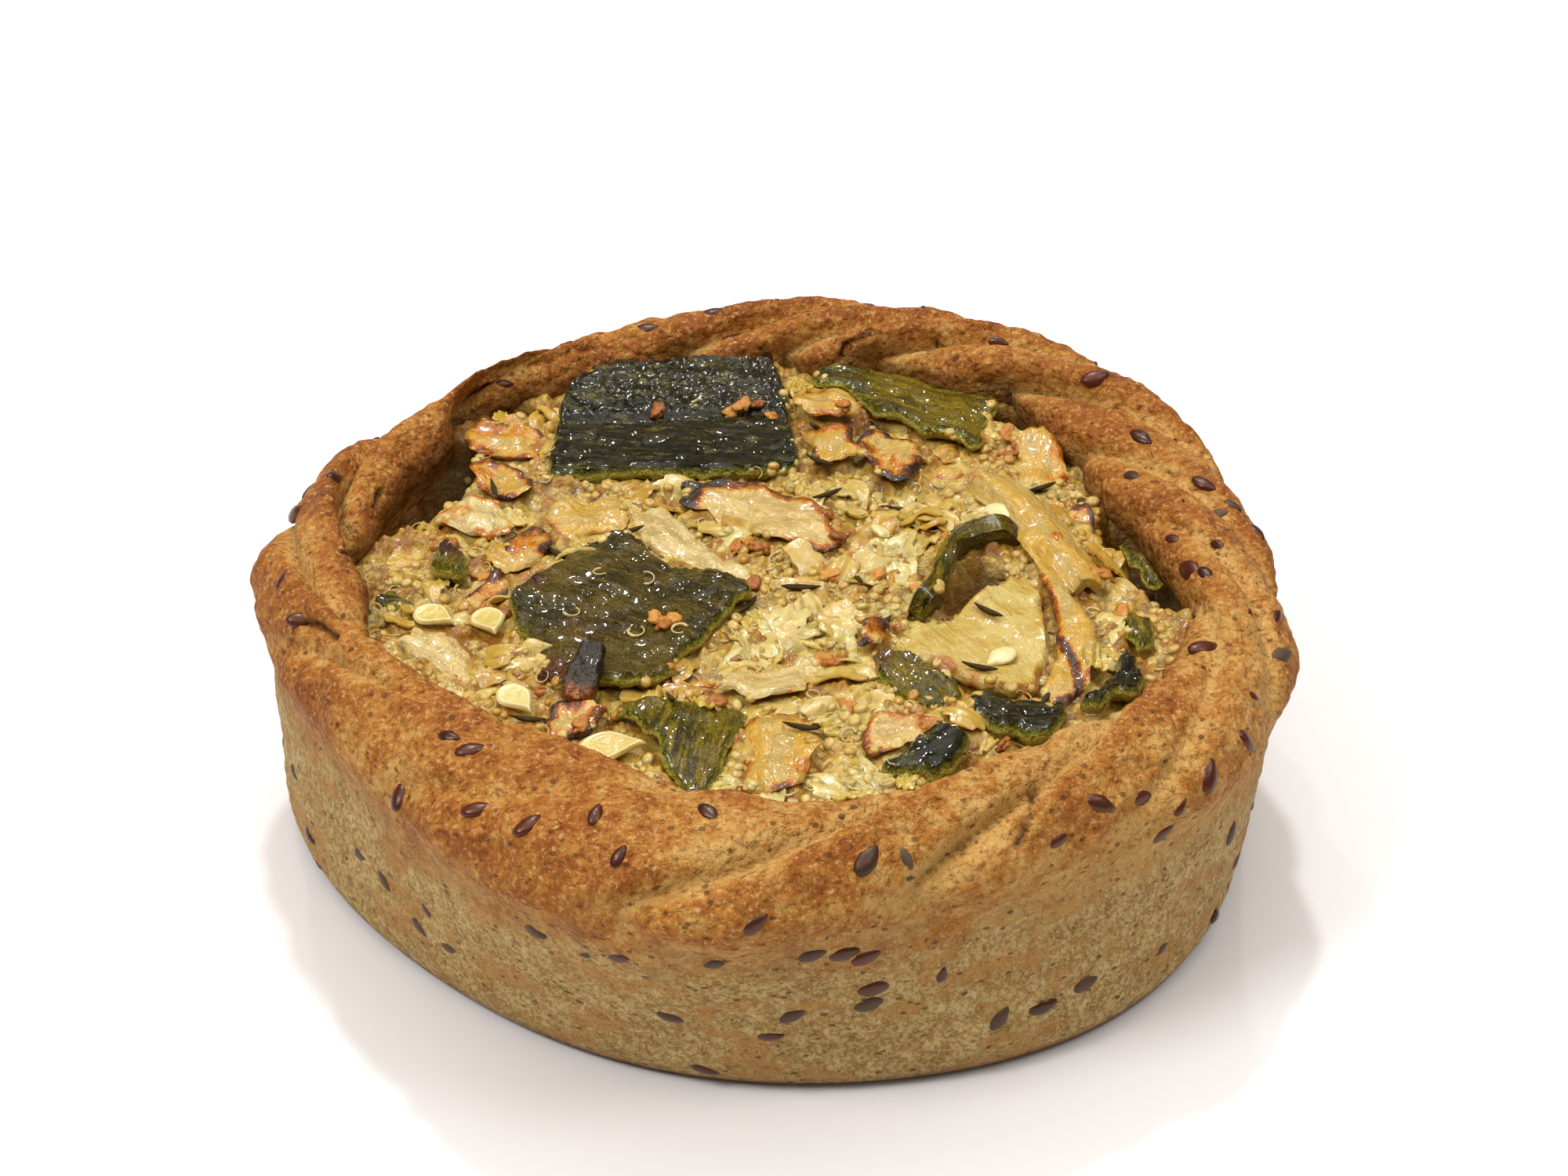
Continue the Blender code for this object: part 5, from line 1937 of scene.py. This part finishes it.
SLABS = (
    Slab("zucchini_back_left", Kind.SKIN_BLACK, 3.2, ((-29, 43), (-21, 50.6), (-12, 52.6), (-4, 52),
        (-0.5, 46), (1, 34), (1.5, 22.5), (-9, 20), (-20, 21), (-30.5, 20.5), (-30.8, 31)), heading=-6,
        curl=0.3, ripple=0.3, sheet=2.4, tear=0.25, fold=(35.5, 1.3)),
    Slab("zucchini_back_right", Kind.SKIN_OLIVE, 3.0, ((4, 47.5), (13, 49.5), (20, 48), (29, 42.5),
        (27, 34), (26, 27.5), (19.5, 31), (13, 37), (8, 42.5)), heading=-30, ripple=0.55, sheet=2.0),
    Slab("zucchini_left", Kind.SKIN_BROWN, 3.0, ((-21, 6), (-13, -0.5), (-4, -7.5), (-7, -12.5), (-12, -20),
        (-15.5, -26), (-27.5, -26), (-30.5, -18), (-33.5, -8), (-28, 0.5)), heading=-35, sheet=2.2,
        spots=((-31, -5, 2.0, 0.9), (-27.5, -24, 3.0, 0.85), (-24, -15, 7.0, 0.35))),
    Slab("zucchini_front", Kind.SKIN_OLIVE, 2.6, ((-19, -30.5), (-5, -30.2), (-6.5, -40), (-9, -46),
        (-12.5, -44.6), (-15.5, -38.5), (-18, -34.5)), heading=80, ripple=0.4, sheet=1.9, tilt=(0.0, 0.05)),
    Slab("zucchini_slice", Kind.FLESH, 3.0, ((13, -18), (20, -12.5), (27, -5), (29.8, -3), (32, -12),
        (31.4, -21), (29.3, -27.5), (22.5, -26), (16, -21.2)), heading=-55, ripple=0.5, sheet=2.4,
        spots=((24, -13, 3.5, 0.3), (19, -23.6, 2.2, 0.55), (23, -25, 1.5, 0.5)), edge_brown=0.3),
    Slab("zucchini_slice_skin_left", Kind.SKIN_OLIVE, 2.4, ((10.4, -21.8), (13.8, -21.4), (17.8, -23.8),
        (21.4, -28.2), (13, -29)), heading=-50, ripple=0.4, sheet=2.6, tilt=(0.0, 0.16), raised=0.8,
        spots=((11.5, -22.5, 2.2, 0.6),)),
    Slab("zucchini_slice_skin_front", Kind.SKIN_BLACK, 2.4, ((21.2, -28.2), (27.5, -28.6), (33.2, -32),
        (30, -36.6), (23.6, -33.6)), heading=-20, ripple=0.4, sheet=2.8, tilt=(0.0, 0.1), raised=0.9),
    Slab("zucchini_slice_skin_right", Kind.SKIN_BLACK, 2.4, ((40.6, -19.5), (43.2, -24.5), (40, -29.6),
        (34.4, -31), (37.6, -26), (39.2, -22)), heading=65, ripple=0.3, sheet=2.6, raised=0.8),
    Slab("zucchini_chunk", Kind.SKIN_BLACK, 3.6, ((12, -40.4), (18.4, -35.2), (21.4, -38.4), (20.4, -41.4),
        (17, -44.2), (13.2, -42.6)), heading=30, ripple=0.5, sheet=3.0, tilt=(0.02, 0.12)),
    Slab("zucchini_nub", Kind.SKIN_OLIVE, 3.4, ((-44, -3), (-43.6, 2), (-41.8, 3.4), (-40.2, 1),
        (-40.2, -4)), heading=80, sheet=3.0, spots=((-42, 1.8, 2.6, 0.95),)),
    Slab("zucchini_edge_left", Kind.SKIN_OLIVE, 2.2, ((-51, -7.5), (-50, -4.4), (-46.6, -4.6),
        (-46.4, -8.6)), sheet=2.0),
    Slab("zucchini_edge_right", Kind.SKIN_OLIVE, 2.0, ((42.6, 5.4), (45.4, 4.6), (48, -4), (45.4, -4.6)),
        heading=-60, sheet=1.8),
    Slab("zucchini_edge_front_right", Kind.SKIN_OLIVE, 2.2, ((41.8, -10.6), (45, -11.6), (45.2, -18),
        (42.2, -18.4)), heading=-85, sheet=2.0),
    Slab("onion_burnt_tip", Kind.ONION, 3.2, ((-13.5, 14), (-12, 18.4), (-4, 18.2), (1, 15.5), (5, 10.5),
        (7, 4), (3.5, 2), (-3, 6), (-8.5, 10.5)), heading=-40, tint=0.4, spots=((-12.6, 15.8, 2.8, 1.1),
        (-11.2, 17.8, 2.4, 1.1)), scorches=((((-13, 13.6), (-12, 18.4), (-8.6, 18.6)), 2.3, 1.0),
        (((-10, 18.6), (-4, 18.4), (1, 15.8)), 2.6, 0.72), (((0, 16), (5.2, 10.6), (7, 4.4)), 1.6, 0.55)),
        curl=1.0, tilt=(-0.02, 0.03), edge_brown=0.42),
    Slab("onion_clear", Kind.ONION, 2.4, ((-20.5, 14.5), (-15, 12), (-9.5, 5.5), (-4.5, -0.5), (-4, -4.4),
        (-9, -2), (-13.5, 2), (-18.4, 6.6)), heading=-48, tint=0.0, sheet=1.1),
    Slab("onion_left", Kind.ONION, 2.6, ((-30.6, 10.4), (-28, 14.6), (-22, 15.8), (-20.4, 11), (-23, 7.6),
        (-28, 6.4)), heading=15, tint=0.8, spots=((-30.5, 9, 2.2, 0.4),)),
    Slab("onion_left_browned", Kind.ONION_BROWNED, 2.6, ((-35, -0.6), (-34.6, 6), (-32.6, 11), (-31.2, 8),
        (-29.4, 3.4)), heading=75, tint=0.9, spots=((-32.8, 8.4, 4.0, 0.82), (-33.8, 4, 3.2, 0.55)),
        curl=0.8, edge_brown=0.6),
    Slab("onion_charred_arc", Kind.ONION_BROWNED, 3.0, ((-40, -8), (-38.6, -4.4), (-36, -2.2),
        (-34.6, -4.6), (-37.6, -8.6)), heading=50, tint=0.7, spots=((-39, -5, 2.0, 0.85),
        (-36.6, -3, 2.0, 0.8), (-37, -5.4, 2.0, 0.5)), curl=1.0, edge_brown=0.75),
    Slab("onion_sheet_upper", Kind.ONION_BROWNED, 3.4, ((-43, 33.5), (-36, 34.4), (-32.4, 29.5),
        (-33.2, 26), (-41, 27)), heading=-10, tint=0.8, spots=((-40, 33.4, 3.4, 0.5), (-36, 32, 3.0, 0.42),
        (-40, 27.6, 2.4, 0.66)), curl=1.0, tilt=(0.0, 0.08), edge_brown=0.5),
    Slab("onion_sheet_lower", Kind.ONION, 3.0, ((-42.4, 25.6), (-37, 24.6), (-33.2, 19), (-35.2, 15.6),
        (-40, 18)), heading=-50, tint=0.95, spots=((-41, 25, 2.4, 0.72), (-38.4, 24.4, 2.0, 0.66),
        (-40, 22, 3.0, 0.42)), curl=0.9, edge_brown=0.55),
    Slab("onion_folded", Kind.ONION, 3.0, ((-44.4, 12), (-41, 16.2), (-36.4, 14), (-35.8, 8), (-39, 6),
        (-42.6, 8)), heading=-70, tint=0.05, spots=((-41.6, 12, 2.2, 0.45),), curl=1.1, edge_brown=0.3),
    Slab("onion_leaf", Kind.ONION, 2.0, ((-51.6, 2), (-50, 6.4), (-46, 6), (-45.2, 3), (-49, 0.6)),
        heading=20, tint=0.7, curl=1.0),
    Slab("onion_flat", Kind.ONION, 2.4, ((-46.6, -15.6), (-40, -15.4), (-37.4, -18.6), (-37, -23),
        (-41, -22.4)), heading=-35, tint=0.2, sheet=1.2),
    Slab("onion_crumpled", Kind.ONION, 3.6, ((2.2, 43), (6.2, 42.4), (9.6, 38.8), (10.4, 35), (6, 33.8),
        (2.4, 35)), heading=-30, tint=0.9, spots=((5.5, 40.4, 1.3, 0.6), (3.4, 40.6, 0.9, 0.72),
        (7.0, 36.4, 1.0, 0.5)), curl=1.4, ripple=0.9, edge_brown=0.3),
    Slab("onion_brown_top", Kind.ONION_BROWNED, 3.4, ((3, 32), (9, 31.6), (9.4, 24.4), (4, 23.4)),
        heading=85, tint=0.9, spots=((6, 32, 3.4, 0.62), (8.4, 31, 2.0, 0.6)), curl=0.6, ripple=0.5,
        edge_brown=0.55),
    Slab("onion_ring", Kind.ONION_BROWNED, 3.6, ((11, 32), (15.4, 31.4), (18.2, 27), (17, 20.4), (14, 18),
        (10.6, 21)), heading=70, tint=0.6, spots=((10.8, 21.6, 2.4, 0.82), (13, 18.6, 2.2, 0.8),
        (16.6, 19.8, 2.2, 0.86), (18, 23.6, 1.8, 0.72), (11.2, 26, 1.8, 0.7), (13.6, 22, 3.2, 0.45)),
        curl=1.2, ripple=0.5, edge_brown=0.75),
    Slab("onion_crisp", Kind.ONION_BROWNED, 2.8, ((18.9, 21.6), (20, 26.2), (24, 25.6), (25.4, 22),
        (21.6, 19.6)), heading=10, tint=0.8, spots=((20.2, 21.4, 1.5, 0.55), (22.4, 20.4, 1.4, 0.58),
        (24.6, 22.4, 1.2, 0.5), (20.4, 26.2, 2.0, 0.9)), curl=1.4, ripple=0.9, edge_brown=0.6),
    Slab("onion_right", Kind.ONION, 3.4, ((30.6, 19.4), (31, 29), (33.6, 32), (36.6, 30), (37.6, 23),
        (35.4, 18.4)), heading=80, tint=0.75, spots=((36.4, 26, 2.2, 0.42), (36, 21, 2.2, 0.46),
        (34, 31.4, 1.6, 0.5)), curl=1.0, ripple=0.7, edge_brown=0.35),
    Slab("onion_right_tip", Kind.ONION_BROWNED, 3.0, ((36.6, 10), (38.2, 16.6), (40.4, 13), (39.8, 7)),
        heading=-70, tint=0.8, spots=((38.6, 14.6, 2.6, 0.85),), curl=1.0, edge_brown=0.6),
    Slab("onion_brown_edge", Kind.ONION, 3.2, ((31.8, -2.6), (34.4, -5.4), (37, -12), (38, -18),
        (36.4, -25), (33.2, -28.6), (31, -27.4), (32.8, -20), (33.2, -12)), heading=-80, tint=0.85,
        spots=((37.0, -24.4, 1.2, 0.6),), scorches=((((31.8, -3.4), (32.8, -8.4), (33.2, -13),
        (33, -18)), 0.75, 0.66), (((33, -18), (34.6, -22), (35, -27), (32.6, -28.6)), 0.8, 0.9)), curl=0.9,
        tear=0.4),
    Slab("onion_caramel", Kind.ONION_BROWNED, 3.2, ((8.6, -19.6), (9, -15), (11.8, -12.8), (13.4, -14.6),
        (11.6, -18.6)), heading=60, tint=0.6, spots=((11, -15.4, 2.6, 0.6), (12, -14, 1.4, 0.9),
        (9.4, -19, 1.6, 0.95)), curl=0.8, edge_brown=0.5),
    Slab("onion_pale", Kind.ONION, 3.0, ((-9.4, -27.6), (-4, -23), (3, -20.6), (4, -24), (2.4, -28.2),
        (-3.6, -28.8)), heading=22, tint=0.25, spots=((-9, -27.6, 1.4, 0.5),), ripple=0.5, edge_brown=0.2),
    Slab("onion_front_browned", Kind.ONION_BROWNED, 3.6, ((-3.8, -31.6), (1.4, -31.2), (3.6, -36), (3, -42),
        (0.4, -45.4), (-4, -45.4), (-5, -38)), heading=85, tint=0.9, spots=((-4.2, -33, 1.8, 0.55),
        (-4.6, -37, 1.6, 0.55), (-4.2, -41, 1.5, 0.5), (0.6, -32.4, 1.6, 0.5), (1.6, -42.6, 1.6, 0.45)),
        curl=1.3, ripple=1.0, edge_brown=0.5),
    Slab("onion_orange_edge", Kind.ONION, 3.0, ((9.4, -34), (13, -31.8), (17.8, -33.4), (15.6, -36),
        (12, -38.6), (10, -38)), heading=15, tint=0.4, spots=((13.6, -33, 2.2, 0.42),
        (16.6, -33.8, 2.0, 0.46)), curl=1.0, edge_brown=0.42),
    Slab("onion_charred_front", Kind.ONION_BROWNED, 3.0, ((-28, -31), (-22.4, -31), (-20.8, -33),
        (-23.4, -35.4), (-26.6, -35.6)), heading=60, tint=0.7, spots=((-24.6, -31, 1.8, 0.7),
        (-21.8, -33, 2.0, 0.72)), edge_brown=0.6),
)
RIBBONS = (
    Ribbon("zucchini_curl", Kind.SKIN_OLIVE, 2.2, 4.6, (
        (15.6, -12), (18.2, -8), (19.4, -3), (21, 2), (24.6, 4.8), (29.6, 6.8)), standing=True, lean=0.8,
        spots=((29.4, 6.9, 1.4, 1.0),)),
    Ribbon("onion_long", Kind.ONION, 6.4, 3.0, ((26, 19), (30, 13.5), (33.2, 6.5), (35.2, 0), (37.6, -6)),
           standing=False, tint=0.85, spots=((34.6, 3.6, 1.4, 0.4),)),
)
SEEDS = (
    ZucchiniSeed(1, -43.0, -11.2, 6.4, 4.2, -40),
    ZucchiniSeed(2, -36.2, -12.6, 6.6, 4.6, -75),
    ZucchiniSeed(3, -20.0, -37.8, 8.2, 5.4, 0, tint=0.6),
    ZucchiniSeed(4, -31.6, -28.6, 7.0, 4.2, -60, tint=0.3),
)
STICK = CharredStick()


@dataclass
class Filling:
    """The mash: a fine sheet over the opening that carries the pieces and runs down to the cup's floor."""

    bed: Bed
    cells: int = 300
    open_rise: float = 1.4 * MM
    grain: float = 2.1 * MM
    grain_height: float = 0.8 * MM
    lower_rings: tuple[float, ...] = (20.0 * MM, 4.7 * MM)
    draw_in: float = 0.985

    def covered(self, flat: Points) -> tuple[Points, Points]:
        """How far each point lies under a piece, and how high that piece lets the mash rise.

        Args:
            flat: Rows of x and y.

        Returns:
            Shares from 0 to 1, and rises in metres.
        """
        share, rise = np.zeros(len(flat)), np.zeros(len(flat))
        pieces = [(metres(slab.outline), slab.rise - slab.sheet - 0.1) for slab in SLABS]
        pieces += [(seed.outline(0.3 * MM), 0.6) for seed in SEEDS]
        for outline, clear in pieces:
            near = np.hypot(*(flat - outline.mean(axis=0)).T) < np.ptp(outline, axis=0).max() + 4 * MM
            inside = inside_distance(flat[near], outline)
            own = ramp(inside, -0.6 * MM, 0.9 * MM)
            better = own > share[near]
            rise[near] = np.where(better, clear * MM + self.bed.gap, rise[near])
            share[near] = np.maximum(share[near], own)
        return share, rise

    def build(self, wardrobe: Wardrobe) -> Object:
        """Builds the dressed filling.

        Args:
            wardrobe: The materials by name.

        Returns:
            The filling.
        """
        obj, places = started(bpy.ops.mesh.primitive_grid_add, x_subdivisions=self.cells,
                            y_subdivisions=self.cells, size=2.0)
        u, v = places[:, 0], places[:, 1]
        ring = np.maximum(np.abs(u), np.abs(v))
        wide = np.abs(u) >= np.abs(v)
        safe_u, safe_v = np.where(np.abs(u) < 1e-9, 1e-9, u), np.where(np.abs(v) < 1e-9, 1e-9, v)
        angle = np.where(wide, math.pi / 4 * v / safe_u + np.where(u > 0, 0, math.pi),
                         math.pi / 2 - math.pi / 4 * u / safe_v + np.where(v > 0, 0, math.pi))
        radius = ring * self.bed.edge(angle)
        flat = columns(radius * np.cos(angle), radius * np.sin(angle))
        share, rise = self.covered(flat)
        hollow = np.clip(self.bed.hollow(*flat.T) / (3 * MM), 0, 1)
        distance, own = grain_cells(flat, self.grain, 6)
        crumbs, _ = grain_cells(flat, 1.15 * MM, 9)
        lumps = self.grain_height * (1 - ramp(distance, 0.0, 0.62)) * (0.4 + own)
        lumps += 0.4 * MM * (1 - ramp(crumbs, 0.0, 0.65))
        lumps += 0.85 * MM * layered_noise(flat, 5.0 * MM, 12) + 0.22 * MM * smooth_noise(flat, 0.9 * MM, 15)
        free = self.open_rise * (1 - hollow) + lumps
        level = self.bed.level(*flat.T) + blend(free, rise, share)
        level -= 1.2 * MM * ramp(ring, 0.965, 1.0) * (1 - hollow)
        move_points(obj, np.hstack([flat, level[:, None]]))
        # Painted shade, from 0 to 1: in the hollows, and between the grains where no piece lies
        painted_gap_shade = 0.65 * ramp(distance, 0.35, 0.7) + 0.4 * ramp(crumbs, 0.4, 0.7)
        deep = np.clip(hollow + (1 - share) * painted_gap_shade, 0, 1)
        with editing(obj):
            bpy.ops.mesh.region_to_loop()
            for height in self.lower_rings:
                bpy.ops.mesh.extrude_region_move(TRANSFORM_OT_translate={"value": (0, 0, -MM)})
                flat_scale = (self.draw_in, self.draw_in, 0.0)
                bpy.ops.transform.resize(value=flat_scale, center_override=(0, 0, height))
            bpy.ops.mesh.edge_face_add()
        added = len(obj.data.vertices) - len(deep)
        # The sides that run down into the cup are given full painted shade
        give_values(obj, "deep", np.concatenate([deep, np.ones(added)]))
        give_values(obj, "own", np.concatenate([own, np.ones(added)]))
        right_way_out(obj)
        return dress(obj, "quinoa_filling", wardrobe["mash"], "filling", ["filling"])


@dataclass
class Scatter:
    """Everything small that lies loose on the filling, each kind joined into one piece."""

    bed: Bed
    surface: BVHTree
    wardrobe: Wardrobe
    draw: random.Random = field(default_factory=lambda: random.Random(5))
    grains: int = 1300
    germs: int = 200
    shreds: int = 160
    flakes: int = 60
    crisps: int = 24
    leaves: int = 7
    # Places in millimetres from the middle of the tart
    thyme_seen: tuple = (
        (8.9, -3.3, -65), (5.6, 14, 30), (15.4, 13.5, -15), (12, 32.7, 65), (4.7, 22.4, -35),
        (-30, -33, -10), (2, -36, -15), (25, -13, -40), (23.3, -24.7, -20), (31, -28, 60), (-38, 17, -75),
        (-20, 7.5, 25), (-4.5, -9, 60), (12, -12.5, 55))
    crisp_seen: tuple = (
        (-5.6, 36.4), (-3.6, 36.9), (-7.4, 35.6), (-1.8, 35.4), (-17, 35.5), (-14.5, -15.4),
        (-13.6, -14.2), (-15.6, -14.4), (5.6, -2.3), (11.7, -3.3), (13.2, -3.8), (41.7, -9.8),
        (-4.7, 4.7), (-3.2, 3.4), (-6.2, 4.0), (-44, 4), (-42.8, 5), (5.6, -22), (6.6, -20.8),
        (4.6, -20.6), (19, 13.4), (18, 14.6), (30.4, 30), (-8, -30), (25.6, -36.6))
    curl_seen: tuple = (
        (-31.5, 19.8), (-12, 37), (-23, -4), (-17, -5), (-18, -17), (-12.6, -16.6), (-26, -12))
    white_seen: tuple = (
        (27.5, 11), (14, 5.6), (26, -22), (12.5, 7))

    def spot(self, x: float, y: float) -> tuple[Vector, Vector] | None:
        """Where a bit comes to lie at this place, and which way is up there."""
        place, normal, _, _ = self.surface.ray_cast(Vector((x, y, 60 * MM)), Vector((0, 0, -1)))
        return (place, normal) if place and normal.z > 0.35 else None

    def sprinkle(self, heap: Heap, count: int, keep: Callable[[Points], Points], lift: float,
                 margin: float = 1.5) -> None:
        """Lays bits at random over the opening.

        Args:
            heap: Where the bits go.
            count: How many are laid.
            keep: Gives the chance that a bit stays at a point.
            lift: How far its middle lies over the surface, in millimetres.
            margin: Distance kept to the pastry, in millimetres.
        """
        draw = self.draw
        angle = np.array([draw.uniform(0, math.tau) for _ in range(6 * count)])
        reach = np.sqrt([draw.random() for _ in range(6 * count)])
        radius = (self.bed.crust.lip_radius(angle) - margin * MM) * reach
        flat = columns(radius * np.cos(angle), radius * np.sin(angle))
        stays = keep(flat)
        tones = 0.34 + 0.36 * layered_noise(flat, 6.5 * MM, 71, 2)
        laid = 0
        for (x, y), chance, tone in zip(flat, stays, tones):
            luck, heading, scale = draw.random(), draw.uniform(0, math.tau), draw.uniform(0.75, 1.15)
            tint = min(max(tone + draw.uniform(-0.16, 0.16), 0.0), 1.0)
            found = self.spot(x, y) if luck < chance and laid < count else None
            if not found:
                continue
            place, normal = found
            up = (normal + UP + Vector([draw.uniform(-0.2, 0.2) for _ in range(3)])).normalized()
            heap.lay(laid, place + normal * (lift * MM), up, heading, scale, tint)
            laid += 1

    def seen(self, rows: Sequence[tuple]) -> Iterator[tuple]:
        """Number, x, place, normal and further values of each row of places that carries a bit.

        Args:
            rows: Rows of x and y in millimetres and further values.

        Yields:
            Number, x, place, normal and further values.
        """
        for number, (x, y, *more) in enumerate(rows):
            found = self.spot(x * MM, y * MM)
            if found:
                yield number, x, *found, *more

    def bare(self, flat: Points, clear: float = 0.0) -> Points:
        """Chance for a bit that keeps this far off the pieces and the hollows.

        Args:
            flat: Rows of x and y.
            clear: The distance kept, in metres.

        Returns:
            One chance for each point.
        """
        share = np.zeros(len(flat))
        lines = [(metres(slab.outline), 0.0) for slab in SLABS]
        lines += [(seed.outline(0.0), 0.0) for seed in SEEDS]
        lines += [(metres(ribbon.path), ribbon.width * MM / 2) for ribbon in RIBBONS]
        lines.append((np.array((STICK.foot, STICK.top))[:, :2], STICK.width))
        for outline, half_width in lines:
            near = np.hypot(*(flat - outline.mean(axis=0)).T) < np.ptp(outline, axis=0).max() + 6 * MM
            inside = inside_distance(flat[near], outline)
            inside = half_width - np.abs(inside) if half_width else inside
            share[near] = np.maximum(share[near], ramp(inside + clear, -0.2 * MM, 1.2 * MM))
        hollow = ramp(self.bed.hollow(*flat.T), 1.0 * MM, 2.5 * MM)
        return (1 - share) * (1 - 0.9 * hollow)

    def patches(self, size: float, seed: int, low: float, high: float, clear: float = 0.0) -> Callable:
        """Chance that follows soft patches of this size, this far off the pieces, both in millimetres."""
        return lambda flat: (self.bare(flat, clear * MM)
                             * ramp(layered_noise(flat, size * MM, seed, 2), low, high))

    def build(self) -> None:
        """Builds all kinds of small bits."""
        large = [Bit.flake((6.8, 4.2, 1.7), n, 1 + 0.4 * n, 0.1 + 0.1 * n) for n in range(6)]
        shreds = Heap("onion_shreds", "shred", "onion", large, crisp_degrees=50.0)
        self.sprinkle(shreds, self.shreds, self.patches(9, 31, -0.8, 0.4, 1.6), -0.3, margin=4)
        small = [Bit.flake((4.6, 3.0, 1.3), n + 9, 3.0, 0.1) for n in range(5)]
        flakes = Heap("zucchini_shreds", "yellow", "zucchini_flesh", small, crisp_degrees=50.0)
        self.sprinkle(flakes, self.flakes, self.patches(11, 41, -0.5, 0.6, 0.8), -0.1, margin=3)
        balls = [Bit.ball((1.7, 1.4, 1.05), dent=0.5), Bit.ball((1.5, 1.3, 0.95), dent=0.25)]
        grains = Heap("quinoa_grains", "quinoa", "filling", balls)
        self.sprinkle(grains, self.grains, self.patches(6, 51, -0.3, 0.5, 0.7), -0.3)
        curls = [Bit.curl(0.85, 0.38, degrees) for degrees in (270, 220, 170)]
        germs = Heap("quinoa_germs", "germ", "filling", curls)
        self.sprinkle(germs, self.germs, self.patches(8, 81, -1.2, -0.4, 0.9), 0.15)
        for _, x, place, normal in self.seen(self.curl_seen):
            germs.lay(int(x), place + normal * 0.1 * MM, normal, x, 1.15, 0.1)
        lumps = [Bit.crumb((3.1, 2.2, 1.3), n) for n in range(4)]
        crisps = Heap("crisp_bits", "crisp", "onion_browned", lumps)
        self.sprinkle(crisps, self.crisps, self.patches(7, 61, -0.3, 0.8), 0.1, margin=3)
        for number, x, place, normal in self.seen(self.crisp_seen):
            crisps.lay(number, place + 0.3 * MM * UP, normal, 2.1 * x, 1.0, self.draw.uniform(0, 0.7))
        leaf = Bit.ball((4.8, 0.8, 0.8), 8, 12, point=0.5, dent=0.5, bend=0.8)
        thyme = Heap("thyme_leaves", "thyme", "charred", [leaf])
        self.sprinkle(thyme, self.leaves, self.bare, 0.35, margin=5)
        for _, _, place, _, heading in self.seen(self.thyme_seen):
            thyme.lay(0, place + 0.5 * MM * UP, UP, math.radians(heading), 0.95, 0.3)
        white = Heap("pale_seeds", "hull", "zucchini_seed", [Bit.ball((5.2, 3.4, 1.3), 20, 12, point=0.5)])
        for _, x, place, normal in self.seen(self.white_seen):
            white.lay(0, place + 0.3 * MM * UP, normal, 0.7 * x, 0.9, 0.0)
        for heap in (shreds, flakes, grains, germs, crisps, thyme, white):
            heap.build(self.wardrobe)


def main() -> None:
    """Builds the tart and its studio."""
    logging.basicConfig(level=logging.INFO, format="%(name)s %(message)s")
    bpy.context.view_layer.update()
    wardrobe = all_finishes()
    studio = Studio()
    studio.build()
    crust = Crust()
    crust.build(wardrobe, studio)
    FlaxSeeds().build(wardrobe, crust, studio)
    bed = Bed(crust)
    filling = Filling(bed).build(wardrobe)
    pieces = [slab.build(bed, wardrobe) for slab in SLABS]
    pieces += [ribbon.build(bed, wardrobe) for ribbon in RIBBONS]
    pieces += [seed.build(bed, wardrobe) for seed in SEEDS]
    pieces.append(STICK.build(wardrobe))
    back = Matrix.Translation(-CUP_SHIFT)
    for piece in (filling, *pieces):
        piece.data.transform(back)
    surface = surface_of(filling, *pieces)
    for piece in (filling, *pieces):
        piece.data.transform(back.inverted())
    Scatter(bed, surface, wardrobe).build()


if __name__ == "__main__":
    main()
